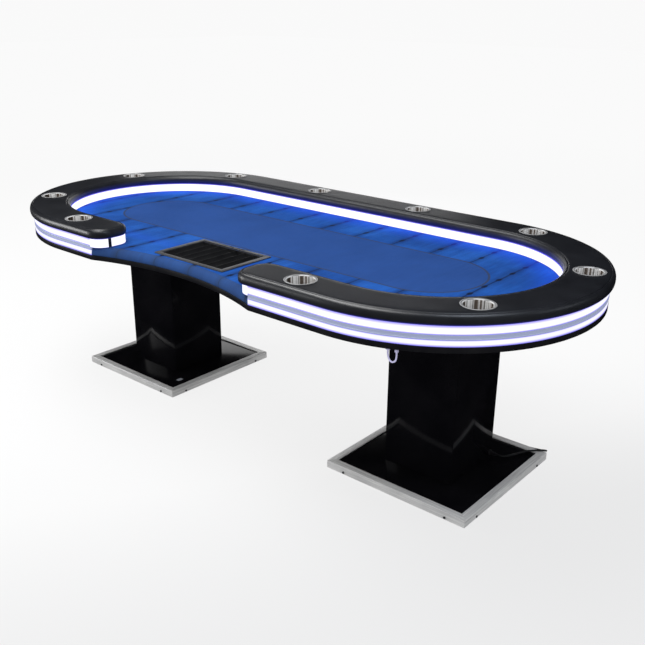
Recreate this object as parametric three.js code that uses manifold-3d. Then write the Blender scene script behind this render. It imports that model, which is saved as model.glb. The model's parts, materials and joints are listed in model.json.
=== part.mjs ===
// Oval poker table on two square pedestals, in millimetres, +Z up.
// +X runs along the table, the dealer sits at -Y, and z = 0 is the floor.
// The origin is on the floor under the middle of the table top.
import * as THREE from 'three';
import { mergeVertices } from 'three/addons/utils/BufferGeometryUtils.js';
import Module from 'manifold-3d';

const wasm = await Module();
wasm.setup();

// ---------------------------------------------------------------- driving dimensions
const GAP = 0.3; // clearance between pieces that touch

// table top in plan: half circles joined by straights
const HALF_STRAIGHT = 635;
const RAIL_OUTER = 559; // radius of the armrest's outer bulge
const RAIL_INNER = 404;
const SKIRT_R = 546; // radius of the lit skirt's face
const RISER_R = 407; // radius of the lit riser's face round the playing surface
const DEALER_X = -43; // middle of the dealer's place
const ARM_END = 341; // half the gap between the two arm ends
const ARM_CORNER = 50;
const CUT_HALF = 388; // half the width of the dealer's curved edge
const CUT_DEPTH = 71;

// levels
const DECK_BOTTOM = 648;
const DECK_TOP = 665;
const BOARD_BOTTOM = 674;
const BOARD_TOP = 688.2;
const CLOTH_TOP = 694.5;
const BAND_LOW_TOP = 685;
const CHANNEL_TOP = 699.1;
const WALL_TOP = 727.7;
const CORE_TOP = 742;
const RAIL_TOP = 762;

// wall that carries the rail and the lights, as insets from the lit faces
const DIFFUSER_T = 4;
const WALL_INSET = 8;
const WALL_T = 12;
const STRIP_INSET = 6;
const STRIP_T = 1.6;
const EDGE_TRIM_T = 3;
const BOLSTER_DEPTH = 28;
const BOLSTER_CLEARANCE = 1; // behind the roll, before the board

// cup holders
const CUP_PATH_R = 482;
const CUP_HOLE_R = 44.5;
const CUP_FLANGE_R = 49.5;
const CUP_DEPTH = 70;

// chip tray
const TRAY_Y = -326;
const TRAY_W = 340;
const TRAY_D = 230;
const WELL_W = 298;
const WELL_D = 196;
const CHANNELS = 7;
const CHIP_R = 20.3;

// pedestals
const PEDESTAL_X = 686;
const PEDESTAL_Y = 32;
const BASE_W = 550;
const BASE_H = 30;
const LIP_W = 27;
const SHEET_T = 3;
const COLUMN_W = 266;
const COLUMN_WALL = 15;
const PANEL_TOP = 26.5;
const CORE_BOARD_TOP = 22;
const PAD_T = 2;
const SCREW_Z = 9;
const PLATE_T = 5;
const PLATE_W = 330;
const CABLE_HOLE_R = 30;

// mains lead
const CORD_D = 6.5;
const RELIEF_L = 28;
const PLUG_R = 12;
const COIL_X = 600;
const COIL_Y = 385;
const COIL_IN = 29.6;
const COIL_OUT = 44.4;
const COIL_BOTTOM = 1.8;
const COIL_TOP = 23.2;
const PLUG_OFFSET_X = 40.6; // from the coil's middle to the plug's axis
const PLUG_OFFSET_Y = 26;

// facets
const END_STEPS = 20;
const CORNER_STEPS = 5;
const CUT_STEPS = 16;
const ROUND_STEPS = 16;
const CUP_STEPS = 14;

// ---------------------------------------------------------------- materials
function finish(color, roughness, metalness = 0) {
  return new THREE.MeshStandardMaterial({ color, roughness, metalness });
}
const vinyl = finish(0x24262a, 0.55);
const wood = finish(0xb48a5a, 0.8);
const blackBoard = finish(0x17171a, 0.6);
const glossBlack = finish(0x08080a, 0.08);
const clothBlue = finish(0x2f63b4, 0.9);
const lightWhite = finish(0xf2f2ff, 0.4);
const channelGrey = finish(0xaeb4c4, 0.4, 0.6);
const stripWhite = finish(0xdcdce2, 0.6);
const brushed = finish(0xb9bab8, 0.35, 0.9);
const stainless = finish(0xd0d0d0, 0.18, 1);
const steel = finish(0x55575c, 0.45, 0.9);
const trayGrey = finish(0x76787c, 0.4, 0.7);
const blackPlastic = finish(0x101012, 0.45);
const rubber = finish(0x0c0c0c, 0.7);
const leadWhite = finish(0xc9c8e6, 0.5);

// ---------------------------------------------------------------- outlines in plan
function arc(cx, cy, radius, fromDeg, toDeg, steps) {
  return Array.from({ length: steps + 1 }, (_, i) => {
    const a = THREE.MathUtils.degToRad(fromDeg + ((toDeg - fromDeg) * i) / steps);
    return new THREE.Vector2(cx + radius * Math.cos(a), cy + radius * Math.sin(a));
  });
}

function ovalEnds(radius) {
  return [
    ...arc(HALF_STRAIGHT, 0, radius, -90, 90, END_STEPS),
    ...arc(-HALF_STRAIGHT, 0, radius, 90, 270, END_STEPS),
  ];
}

// the dealer's curved edge is one arc, concave towards the dealer
const CUT_R = (CUT_HALF ** 2 + CUT_DEPTH ** 2) / (2 * CUT_DEPTH);
const CUT_CENTRE_Y = -SKIRT_R + CUT_DEPTH - CUT_R;

// the whole oval of this radius, with the dealer's edge moved back by cutInset
function deckOutline(radius, cutInset) {
  const r = CUT_R + cutInset;
  const half = THREE.MathUtils.radToDeg(Math.acos((-radius - CUT_CENTRE_Y) / r));
  return [...ovalEnds(radius), ...arc(DEALER_X, CUT_CENTRE_Y, r, 90 + half, 90 - half, CUT_STEPS)];
}

// the band that the armrest covers: an oval ring left open at the dealer's place
function railOutline(inner, outer, armEnd, corner) {
  const left = DEALER_X - armEnd - corner;
  const right = DEALER_X + armEnd + corner;
  return [
    ...ovalEnds(outer),
    ...arc(left, corner - outer, corner, -90, 0, CORNER_STEPS),
    ...arc(left, -inner - corner, corner, 0, 90, CORNER_STEPS),
    ...arc(-HALF_STRAIGHT, 0, inner, 270, 90, END_STEPS),
    ...arc(HALF_STRAIGHT, 0, inner, 90, -90, END_STEPS),
    ...arc(right, -inner - corner, corner, 90, 180, CORNER_STEPS),
    ...arc(right, corner - outer, corner, 180, 270, CORNER_STEPS),
  ];
}

function railBand(inset) {
  return railOutline(RISER_R + inset, SKIRT_R - inset, ARM_END + inset, ARM_CORNER - inset);
}

function rectangle(width, depth, x = 0, y = 0) {
  const [w, d] = [width / 2, depth / 2];
  return [[-w, -d], [w, -d], [w, d], [-w, d]].map(([u, v]) => new THREE.Vector2(x + u, y + v));
}

// ---------------------------------------------------------------- solids
function slab(outline, bottom, top, holes = []) {
  const shape = new THREE.Shape(outline);
  shape.holes = holes.map((points) => new THREE.Path(points));
  const geometry = new THREE.ExtrudeGeometry(shape, { depth: top - bottom, bevelEnabled: false });
  return geometry.translate(0, 0, bottom);
}

function block(width, depth, bottom, top, x = 0, y = 0) {
  return new THREE.BoxGeometry(width, depth, top - bottom).translate(x, y, (bottom + top) / 2);
}

function rod(radius, bottom, top, x = 0, y = 0, steps = ROUND_STEPS) {
  const geometry = new THREE.CylinderGeometry(radius, radius, top - bottom, steps);
  return geometry.rotateX(Math.PI / 2).translate(x, y, (bottom + top) / 2);
}

// turned about the Z axis from [radius, z] pairs
function turned(profile, steps = ROUND_STEPS) {
  const points = profile.map(([r, z]) => new THREE.Vector2(r, z));
  return new THREE.LatheGeometry(points, steps).rotateX(Math.PI / 2);
}

// closed skin through rings of points, capped at both ends by the contour's triangles
function skin(rings, contour) {
  const count = contour.length;
  const cap = THREE.ShapeUtils.triangulateShape(contour, []);
  const last = (rings.length - 1) * count;
  const index = cap.flatMap(([a, b, c]) => [c, b, a, a + last, b + last, c + last]);
  for (let k = 0; k < rings.length - 1; k += 1) {
    for (let i = 0; i < count; i += 1) {
      const j = (i + 1) % count;
      const [a, b, c, d] = [k * count + i, k * count + j, (k + 1) * count + j, (k + 1) * count + i];
      index.push(a, b, c, a, c, d);
    }
  }
  const geometry = new THREE.BufferGeometry();
  geometry.setAttribute('position', new THREE.Float32BufferAttribute(rings.flat(2), 3));
  return geometry.setIndex(index);
}

function tube(route, diameter, steps, sides = 8) {
  const section = new THREE.Shape(arc(0, 0, diameter / 2, 0, 360, sides).slice(0, sides));
  const extrudePath = new THREE.CatmullRomCurve3(route.map((p) => new THREE.Vector3(...p)));
  return new THREE.ExtrudeGeometry(section, { steps, bevelEnabled: false, extrudePath });
}

// boolean work
function solid(geometry) {
  const bare = geometry.clone();
  bare.deleteAttribute('normal');
  bare.deleteAttribute('uv');
  const merged = mergeVertices(bare, 1e-4);
  const vertProperties = new Float32Array(merged.attributes.position.array);
  const index = merged.index.array;
  const triVerts = [];
  for (let i = 0; i < index.length; i += 3) {
    const [a, b, c] = [index[i], index[i + 1], index[i + 2]];
    if (a !== b && b !== c && c !== a) triVerts.push(a, b, c);
  }
  return new wasm.Manifold(
    new wasm.Mesh({ numProp: 3, vertProperties, triVerts: new Uint32Array(triVerts) }),
  );
}

function geometryOf(body) {
  const mesh = body.getMesh();
  const geometry = new THREE.BufferGeometry();
  const step = mesh.numProp;
  const position = Array.from({ length: mesh.numVert }, (_, i) =>
    Array.from(mesh.vertProperties.slice(i * step, i * step + 3)),
  );
  geometry.setAttribute('position', new THREE.Float32BufferAttribute(position.flat(), 3));
  return geometry.setIndex(Array.from(mesh.triVerts));
}

function cut(geometry, tools) {
  return geometryOf(tools.reduce((body, tool) => body.subtract(solid(tool)), solid(geometry)));
}

function keep(geometry, tool) {
  return geometryOf(solid(geometry).intersect(solid(tool)));
}

function join(parts) {
  return geometryOf(parts.slice(1).reduce((body, part) => body.add(solid(part)), solid(parts[0])));
}

// ---------------------------------------------------------------- assembly
const table = new THREE.Group();
table.name = 'poker_table';

function place(name, geometry, material, parent = table) {
  const mesh = new THREE.Mesh(geometry, material);
  mesh.name = name;
  parent.add(mesh);
  return mesh;
}

// open ends of the skirt bands, just outside the arm corners
const SKIRT_END = ARM_END + ARM_CORNER + 0.5;
const dealerGap = block(2 * SKIRT_END, 300, 600, 800, DEALER_X, -SKIRT_R);

function skirtRing(outerInset, innerInset, bottom, top) {
  const ring = slab(ovalEnds(SKIRT_R - outerInset), bottom, top, [ovalEnds(SKIRT_R - innerInset)]);
  return cut(ring, [dealerGap]);
}

// screw with a pan head: the head's seat is at z = 0 and the shank points along +Z
function screw(headR, headH, shankR, length) {
  const profile = [
    [0, -headH], [headR * 0.75, -headH], [headR, -headH * 0.4], [headR, 0],
    [shankR, 0], [shankR, length], [0, length],
  ];
  return turned(profile, 6);
}

// two places on each side of a base, near its corners, as [x, y, turn about Z]
function baseScrewPlaces() {
  const along = BASE_W / 2 - 72;
  const out = BASE_W / 2;
  return [0, 90, 180, 270].flatMap((degrees) => {
    const turn = THREE.MathUtils.degToRad(degrees);
    const [c, s] = [Math.cos(turn), Math.sin(turn)];
    return [-along, along].map((t) => [out * c - t * s, out * s + t * c, turn]);
  });
}

// eight places round the rim of a top plate
function plateScrewPlaces() {
  const out = PLATE_W / 2 - 14;
  const steps = [-out, 0, out];
  const grid = steps.flatMap((x) => steps.map((y) => [x, y]));
  return grid.filter(([x, y]) => x !== 0 || y !== 0);
}

function circle(radius, x = 0, y = 0, steps = 16) {
  return arc(x, y, radius, 0, 360, steps).slice(0, steps);
}

function pedestal(side, sign) {
  const group = new THREE.Group();
  group.position.set(sign * PEDESTAL_X, PEDESTAL_Y, 0);
  table.add(group);
  place(`base_pad_${side}`, block(BASE_W - 8, BASE_W - 8, 0, PAD_T), rubber, group);

  // angle frame round the base: upright sides and a flat top lip
  const inside = BASE_W - 2 * SHEET_T;
  const open = BASE_W - 2 * LIP_W;
  const outer = rectangle(BASE_W, BASE_W);
  const sides = slab(outer, PAD_T + GAP, BASE_H, [rectangle(inside, inside)]);
  const lip = slab(outer, BASE_H - SHEET_T, BASE_H, [rectangle(open, open)]);
  const holes = baseScrewPlaces().map(([x, y, turn]) =>
    rod(2.3, -10, 10, 0, 0, 6).rotateY(Math.PI / 2).rotateZ(turn).translate(x, y, SCREW_Z),
  );
  place(`base_frame_${side}`, cut(join([sides, lip]), holes), brushed, group);

  // the core board holds the screws that fasten the frame to it
  const filled = inside - 2 * GAP;
  const board = block(filled, filled, PAD_T + GAP, CORE_BOARD_TOP - GAP);
  const screws = baseScrewPlaces().map(([x, y, turn]) => {
    const geometry = screw(3.6, 1.8, 1.8, 10).rotateY(-Math.PI / 2).rotateZ(turn);
    return geometry.translate(x + GAP * Math.cos(turn), y + GAP * Math.sin(turn), SCREW_Z);
  });
  place(`base_core_${side}`, join([board, ...screws]), wood, group);
  const panel = block(filled, filled, CORE_BOARD_TOP, PANEL_TOP);
  place(`base_panel_${side}`, panel, glossBlack, group);

  const hollow = COLUMN_W - 2 * COLUMN_WALL;
  const columnBottom = PANEL_TOP + GAP;
  const columnTop = DECK_BOTTOM - PLATE_T - 2 * GAP;
  const bore = rectangle(hollow, hollow);
  const shell = slab(rectangle(COLUMN_W, COLUMN_W), columnBottom, columnTop, [bore]);
  place(`column_${side}`, shell, glossBlack, group);
  const blockOutline = rectangle(hollow - 2 * GAP, hollow - 2 * GAP);
  const cableHole = circle(CABLE_HOLE_R);
  const topBlock = slab(blockOutline, columnTop - 45, columnTop, [cableHole]);
  place(`column_top_block_${side}`, topBlock, wood, group);
  const footBlock = slab(blockOutline, columnBottom, columnBottom + 18);
  place(`column_foot_block_${side}`, footBlock, wood, group);

  // steel plate between column and deck, with its screws up into the deck
  const plateBottom = columnTop + GAP;
  const plateSlab = slab(rectangle(PLATE_W, PLATE_W), plateBottom, DECK_BOTTOM - GAP, [cableHole]);
  const plateScrews = plateScrewPlaces().map(([x, y]) =>
    screw(6, 3, 2.6, 18).translate(x, y, plateBottom),
  );
  place(`top_plate_${side}`, join([plateSlab, ...plateScrews]), steel, group);
}

function bothPedestals(make) {
  return [-1, 1].flatMap((sign) => make(sign * PEDESTAL_X, PEDESTAL_Y));
}

function deck() {
  const cableHoles = bothPedestals((x, y) => [circle(CABLE_HOLE_R, x, y)]);
  const screwHoles = bothPedestals((px, py) =>
    plateScrewPlaces().map(([x, y]) => circle(3.2, px + x, py + y, 8)),
  );
  const inset = EDGE_TRIM_T + GAP;
  const board = slab(deckOutline(SKIRT_R + 1 - inset, inset), DECK_BOTTOM, DECK_TOP, [
    ...cableHoles,
    ...screwHoles,
  ]);
  place('deck_board', board, blackBoard);
  const trim = slab(deckOutline(SKIRT_R + 1, 0), DECK_BOTTOM, DECK_TOP, [
    deckOutline(SKIRT_R + 1 - EDGE_TRIM_T, EDGE_TRIM_T),
  ]);
  place('deck_edge_trim', trim, blackPlastic);

  // spacer board under the playing board, with windows between its cross bars
  const wallR = SKIRT_R - WALL_INSET;
  const windows = [[-985, 110, 560], [-730, 280, 880], [460, 260, 872], [760, 220, 864],
    [985, 110, 550]].map(([x, width, depth]) => rectangle(width, depth, x));
  const middleWindow = rectangle(800, 860, -130, 0);
  const spacer = slab(
    deckOutline(wallR, BOLSTER_DEPTH + 2), DECK_TOP + GAP, BOARD_BOTTOM - GAP,
    [...windows, middleWindow],
  );
  place('board_spacers', spacer, wood);

  const trayHole = rectangle(WELL_W + 8, WELL_D + 8, DEALER_X, TRAY_Y);
  const outline = deckOutline(wallR, BOLSTER_DEPTH);
  place('field_board', slab(outline, BOARD_BOTTOM, BOARD_TOP, [trayHole]), wood);
  const clothSlab = slab(outline, BOARD_TOP + GAP, CLOTH_TOP, [trayHole]);
  const underRail = slab(railBand(-GAP), BOARD_TOP, CLOTH_TOP + 5);
  place('field_cloth', cut(clothSlab, [underRail]), clothBlue);
}

// padded roll along the dealer's curved edge
function bolster() {
  const back = BOLSTER_DEPTH - BOLSTER_CLEARANCE;
  const bottom = DECK_TOP + GAP;
  const profile = [
    [2, bottom], [back, bottom], [back, CLOTH_TOP], [18, CLOTH_TOP - 0.1],
    [9, 692], [3, 686.5], [0, 678], [0.3, 669],
  ].map(([d, z]) => new THREE.Vector2(d, z));
  const half = Math.asin(CUT_HALF / CUT_R);
  const rings = Array.from({ length: CUT_STEPS + 1 }, (_, i) => {
    const a = half * ((2 * i) / CUT_STEPS - 1);
    return profile.map(({ x: d, y: z }) => [
      DEALER_X + (CUT_R + d) * Math.sin(a),
      CUT_CENTRE_Y + (CUT_R + d) * Math.cos(a),
      z,
    ]);
  });
  place('dealer_bolster', skin(rings, profile), clothBlue);
}

function skirt() {
  place('led_band_lower', skirtRing(0, DIFFUSER_T, DECK_TOP + GAP, BAND_LOW_TOP), lightWhite);
  place('led_band_upper', skirtRing(0, DIFFUSER_T, CHANNEL_TOP + GAP, WALL_TOP), lightWhite);
  const channel = skirtRing(-0.8, WALL_INSET - GAP, BAND_LOW_TOP + GAP, CHANNEL_TOP);
  place('skirt_channel', channel, channelGrey);
  const strip = [STRIP_INSET, STRIP_INSET + STRIP_T];
  place('led_strip_lower', skirtRing(...strip, 669, 681), stripWhite);
  place('led_strip_upper', skirtRing(...strip, 708, 720), stripWhite);
}

// loop that follows the inside of the rail band and both arm ends
function riserLoop(outerInset, innerInset, bottom, top) {
  const loop = slab(railBand(outerInset), bottom, top, [railBand(innerInset)]);
  const skirtZone = slab(ovalEnds(SKIRT_R + 5), bottom - 1, top + 1, [
    ovalEnds(SKIRT_R - WALL_INSET - 1),
  ]);
  return cut(loop, [cut(skirtZone, [dealerGap])]);
}

function riser() {
  const wall = slab(railBand(WALL_INSET), BOARD_TOP + GAP, WALL_TOP, [
    railBand(WALL_INSET + WALL_T),
  ]);
  const bolsterRoom = slab(
    [...arc(DEALER_X, CUT_CENTRE_Y, CUT_R + BOLSTER_DEPTH + GAP, 114, 66, CUT_STEPS),
      ...arc(DEALER_X, CUT_CENTRE_Y, CUT_R - 5, 66, 114, CUT_STEPS)].reverse(),
    BOARD_BOTTOM, CLOTH_TOP + GAP,
  );
  // it is built as an outer and an inner run, each in two lengths that meet at x = 0
  const bent = cut(wall, [bolsterRoom]);
  const [low, high] = [BOARD_TOP, WALL_TOP + 1];
  const middleR = (RISER_R + SKIRT_R) / 2;
  const runs = {
    outer: cut(bent, [slab(ovalEnds(middleR), low, high)]),
    inner: keep(bent, slab(ovalEnds(middleR - GAP), low, high)),
  };
  [['left', -1], ['right', 1]].forEach(([side, sign]) => {
    const half = block(2000, 1200, low, high, sign * (1000 + GAP / 2), 0);
    place(`rail_wall_outer_${side}`, keep(runs.outer, half), wood);
    place(`rail_wall_inner_${side}`, keep(runs.inner, half), wood);
  });

  // a dark joint strip stands on each arm end, and the light riser is cut there
  const jointY = -498;
  const jointD = 14;
  const bottom = CLOTH_TOP + GAP;
  const loop = riserLoop(0, DIFFUSER_T, bottom, WALL_TOP);
  const inner = keep(loop, block(3000, 1200, 600, 800, 0, jointY + jointD / 2 + 600));
  place('led_riser', inner, lightWhite);
  const strip = riserLoop(STRIP_INSET, STRIP_INSET + STRIP_T, 704, 716);
  place('led_strip_riser', strip, stripWhite);
  [['left', -1], ['right', 1]].forEach(([side, sign]) => {
    const x = DEALER_X + sign * ARM_END;
    const outside = block(200, 200, 600, 800, x, jointY - jointD / 2 - 100);
    place(`led_riser_end_${side}`, keep(loop, outside), lightWhite);
    const between = block(200, jointD - 2 * GAP, 600, 800, x, jointY);
    const strap = keep(riserLoop(-0.6, DIFFUSER_T + 0.6, bottom, WALL_TOP), between);
    place(`joint_strip_${side}`, strap, blackPlastic);
  });
}

// places of the cup holders, all on one oval path round the rail
function cupPlaces() {
  const onPath = (x, side) => {
    const past = Math.max(Math.abs(x) - HALF_STRAIGHT, 0);
    return [x, side * Math.sqrt(CUP_PATH_R ** 2 - past ** 2)];
  };
  const far = [-1091, -746, -251, 251, 746, 1091].map((x) => onPath(x, 1));
  const near = [992, DEALER_X + 545, DEALER_X - 545, -992].map((x) => onPath(x, -1));
  return [...far, ...near];
}

function rail() {
  const holes = cupPlaces().map(([x, y]) => rod(CUP_HOLE_R, 700, 800, x, y));
  const coreInset = 10;
  const shape = (inset) =>
    railOutline(RAIL_INNER + inset, RAIL_OUTER - inset, ARM_END - 13 + inset, 62 - inset);
  const coreBottom = WALL_TOP + 0.6;
  place('rail_core', cut(slab(shape(coreInset), coreBottom, CORE_TOP), holes), wood);

  // the pad wraps over the core's top and down its edges
  const profile = [
    [coreInset - GAP, CORE_TOP + GAP], [coreInset - GAP, coreBottom], [4, coreBottom],
    [0.8, 731], [0, 742], [1.2, 750], [5, 757], [10, 760.6], [15, RAIL_TOP],
  ];
  const rings = profile.map(([inset, z]) => shape(inset).map((p) => [p.x, p.y, z]));
  place('rail_pad', cut(skin(rings, shape(0)), holes), vinyl);
}

function cups() {
  const top = RAIL_TOP + 1.5;
  const bottom = RAIL_TOP - CUP_DEPTH;
  const inside = bottom + 1.5;
  const profile = [
    [0, bottom], [42, bottom], [43, RAIL_TOP + GAP], [CUP_FLANGE_R, RAIL_TOP + GAP],
    [CUP_FLANGE_R, top], [41.2, top], [40.4, inside], [0, inside],
  ];
  cupPlaces().forEach(([x, y], i) => {
    const name = `cup_holder_${String(i + 1).padStart(2, '0')}`;
    const cup = place(name, turned(profile, CUP_STEPS), stainless);
    cup.position.set(x, y, 0);
  });
}

function tray() {
  const frameTop = CLOTH_TOP + GAP + 2.8;
  const well = [rectangle(WELL_W, WELL_D)];
  const flange = slab(rectangle(TRAY_W, TRAY_D), CLOTH_TOP + GAP, frameTop, well);
  const neck = slab(rectangle(WELL_W + 4, WELL_D + 4), DECK_TOP + 2, frameTop, well);
  const slots = [-15, 38].map((x) =>
    block(20, 6, CLOTH_TOP - 1, frameTop + 1, x, TRAY_D / 2 - 8),
  );
  const group = new THREE.Group();
  group.position.set(DEALER_X, TRAY_Y, 0);
  table.add(group);
  place('tray_frame', cut(join([flange, neck]), slots), trayGrey, group);

  const body = block(WELL_W - 2 * GAP, WELL_D - 2 * GAP, DECK_TOP + GAP, 695);
  const pitch = (WELL_W - 2 * GAP) / CHANNELS;
  const channels = Array.from({ length: CHANNELS }, (_, i) => {
    const x = pitch * (i - (CHANNELS - 1) / 2);
    const cylinder = new THREE.CylinderGeometry(CHIP_R, CHIP_R, WELL_D - 12, ROUND_STEPS);
    return cylinder.translate(x, 0, 692);
  });
  place('chip_tray', cut(body, channels), blackPlastic, group);
}

function lights() {
  const driver = block(60, 170, DECK_BOTTOM - GAP - 36, DECK_BOTTOM - GAP, 480, 60);
  place('led_driver', driver, blackPlastic);
  const under = DECK_BOTTOM - GAP;
  place('led_connector', block(9, 8, under - 15, under, 850, -487), leadWhite);
  place('led_lead_clip', block(12, 9, under - 7, under, 828, -497), leadWhite);
  const route = [
    [850, -487, 632.4], [850.1, -487, 629.9], [850, -487, 626], [849.7, -487.2, 620.5],
    [849, -487.6, 615], [847.5, -488.3, 610.9], [845.4, -489.2, 608], [842.8, -490.3, 606.3],
    [840, -491.6, 606], [836.9, -493, 607.2], [834, -494.4, 610], [831.5, -495.5, 614.5],
    [829.6, -496.3, 620], [828.5, -496.8, 626.1], [828, -497, 632], [827.9, -497, 636.8],
    [828, -497, 640.1],
  ];
  place('led_lead', tube(route, 5, 26), leadWhite);
}

function mainsLead() {
  const exit = { x: PEDESTAL_X + COLUMN_W / 2 + GAP, y: 152, z: 46 };
  const profile = [[0, 0], [10, 0], [10, 4], [7, 5], [4.4, RELIEF_L], [0, RELIEF_L]];
  const relief = place('strain_relief', turned(profile, 12).rotateY(Math.PI / 2), rubber);
  relief.position.set(exit.x, exit.y, exit.z);

  // out of the column, over the base's lip, down to the floor and back behind the base
  const floorZ = CORD_D / 2 + GAP;
  const route = [
    [exit.x + RELIEF_L + GAP, exit.y, exit.z], [850.6, exit.y, exit.z], [858.8, 153.2, 45.6],
    [867, 157.4, 44.7], [873.6, 165.6, 43.6], [883, 190, 41.2], [892, 215, 39.6], [901.5, 241, 38.2],
    [913.5, 265, 36.8], [927.5, 284, 35.8], [938.5, 296.5, 35.2], [946, 307.5, 33.6],
    [949.8, 318, 29.4], [949.2, 328.4, 24], [944.5, 337.5, 17.8], [936, 344.6, 12],
    [924.5, 348.6, 7.8], [910, 349.4, 5], [892, 347, 3.8], [870, 342, floorZ],
    [840, 336, floorZ], [800, 331, floorZ], [750, 328, floorZ], [705, 329, floorZ],
    [674, 335, 4], [648, 340.2, 4.8], [624, 343.5, 5.4],
  ];
  place('mains_cord', tube(route, CORD_D, 62), rubber);

  const profileOfCoil = [
    [COIL_IN, COIL_BOTTOM], [COIL_OUT, COIL_BOTTOM], [COIL_OUT, COIL_TOP],
    [COIL_IN, COIL_TOP], [COIL_IN, COIL_BOTTOM],
  ];
  const coil = place('mains_cord_coil', turned(profileOfCoil, 24), rubber);
  coil.position.set(COIL_X, COIL_Y, 0);

  // strap round the coil's section, on the side away from the plug
  const middle = (COIL_IN + COIL_OUT) / 2;
  const room = COIL_OUT - COIL_IN + 2.6;
  const band = block(room + 2.4, 12, 0, COIL_TOP + 2, middle, 0);
  const inside = block(room, 14, COIL_BOTTOM - GAP, COIL_TOP + 0.8, middle, 0);
  const tie = place('cord_tie', cut(band, [inside]), rubber);
  tie.position.set(COIL_X, COIL_Y, 0);

  // two-pin plug lying beside the coil and pointing along +Y
  const along = (tailR, noseR, length, y, x = 0) =>
    new THREE.CylinderGeometry(noseR, tailR, length, 10).translate(x, y + length / 2, PLUG_R + GAP);
  const pins = [-7, 7].map((x) => along(2.4, 2.4, 20, 47, x));
  const shape = join([along(4.2, 7, 16, 0), along(PLUG_R - 1, PLUG_R, 32, 15.5), ...pins]);
  const plug = place('mains_plug', shape, rubber);
  plug.position.set(COIL_X - PLUG_OFFSET_X, COIL_Y + PLUG_OFFSET_Y, 0);
}

pedestal('left', -1);
pedestal('right', 1);
deck();
bolster();
skirt();
riser();
rail();
cups();
tray();
lights();
mainsLead();

export default table;
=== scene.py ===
"""Oval poker table on two pedestals: the looks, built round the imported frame.

Everything is in metres, +X along the table, the dealer at -Y and the floor at z = 0.
"""
import json
import math

import bpy
import bmesh
from mathutils import Matrix, Vector


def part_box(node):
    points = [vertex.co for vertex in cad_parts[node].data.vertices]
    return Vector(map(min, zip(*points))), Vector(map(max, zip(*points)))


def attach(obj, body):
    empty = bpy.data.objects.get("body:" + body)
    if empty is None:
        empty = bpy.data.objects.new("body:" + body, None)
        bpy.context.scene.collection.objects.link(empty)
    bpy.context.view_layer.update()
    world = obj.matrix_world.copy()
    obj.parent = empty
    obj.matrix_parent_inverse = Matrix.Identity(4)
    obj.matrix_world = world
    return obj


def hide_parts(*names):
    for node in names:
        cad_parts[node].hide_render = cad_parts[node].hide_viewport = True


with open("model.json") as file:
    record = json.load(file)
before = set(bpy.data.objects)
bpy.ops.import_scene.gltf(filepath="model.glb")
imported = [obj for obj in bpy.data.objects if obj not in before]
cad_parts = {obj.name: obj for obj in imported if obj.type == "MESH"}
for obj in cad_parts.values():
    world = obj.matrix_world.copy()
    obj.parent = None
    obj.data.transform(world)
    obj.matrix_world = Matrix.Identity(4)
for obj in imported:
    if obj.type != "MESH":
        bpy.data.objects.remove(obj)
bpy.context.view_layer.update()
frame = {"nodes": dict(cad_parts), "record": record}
ROOT = "table"

# ------------------------------------------------------------------ sizes, from the frame
_, RAIL_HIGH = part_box("rail_pad")
CORE_LOW, CORE_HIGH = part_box("rail_core")
BAND_LOW, BAND_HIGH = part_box("led_band_upper")
LOWER_LOW, LOWER_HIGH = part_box("led_band_lower")
CHANNEL_LOW, CHANNEL_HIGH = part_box("skirt_channel")
RISER_LOW, RISER_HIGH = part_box("led_riser")
CLOTH_LOW, CLOTH_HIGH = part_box("field_cloth")
DECK_LOW, DECK_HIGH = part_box("deck_board")
TRIM_LOW, TRIM_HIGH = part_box("deck_edge_trim")
BOLSTER_LOW, BOLSTER_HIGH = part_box("dealer_bolster")

# every oval is a straight run of twice HALF_STRAIGHT with a half circle at each end
HALF_STRAIGHT = 0.635
RAIL_OUTER = RAIL_HIGH.y
RAIL_INNER = 0.404
SKIRT_R = BAND_HIGH.y
RISER_R = 0.407
TRIM_R = TRIM_HIGH.y
RAIL_Z = RAIL_HIGH.z
CLOTH_Z = CLOTH_HIGH.z
# the dealer's place: arm ends of the skirt and the rail, then the curve cut into the deck
DEALER_X = (BOLSTER_LOW.x + BOLSTER_HIGH.x) / 2
ARM_END = 0.341
ARM_CORNER = 0.050
PAD_END = ARM_END - 0.013
PAD_CORNER = 0.062
CUT_HALF = 0.388
CUT_DEPTH = 0.071
CUT_R = (CUT_HALF**2 + CUT_DEPTH**2) / (2 * CUT_DEPTH)
CUT_CENTRE_Y = -SKIRT_R + CUT_DEPTH - CUT_R
BOLSTER_DEPTH = 0.027
# the printed betting line
BET_RADIUS = 0.1934
BET_HALF = 0.634
BET_X = -0.011
# the base frames' lip and their screws
LIP_W = 0.027
SCREW_FROM_CORNER = 0.072
SCREW_Z = 0.009
HAIRLINE = 0.00015
CUPS = sorted(n for n in frame["nodes"] if n.startswith("cup_holder_"))


# ------------------------------------------------------------------ camera
def make_camera():
    """The photograph's view, from the fit to the table's edges."""
    azimuth, elevation, roll = (math.radians(a) for a in (40.205, 20.962, 0.534))
    distance = 3.2104
    target = Vector((0.0778, 0.1189, 0.3505))
    back = Vector((
        math.sin(azimuth) * math.cos(elevation),
        -math.cos(azimuth) * math.cos(elevation),
        math.sin(elevation),
    ))
    level = Vector((math.cos(azimuth), math.sin(azimuth), 0))
    upright = back.cross(level)
    right = level * math.cos(roll) + upright * math.sin(roll)
    up = upright * math.cos(roll) - level * math.sin(roll)
    data = bpy.data.cameras.new("camera")
    data.lens = 46.268
    data.sensor_width = 36
    data.clip_end = 100
    camera = bpy.data.objects.new("camera", data)
    bpy.context.scene.collection.objects.link(camera)
    turn = Matrix((right, up, back)).transposed().to_4x4()
    camera.matrix_world = Matrix.Translation(target + back * distance) @ turn
    bpy.context.scene.camera = camera


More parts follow.
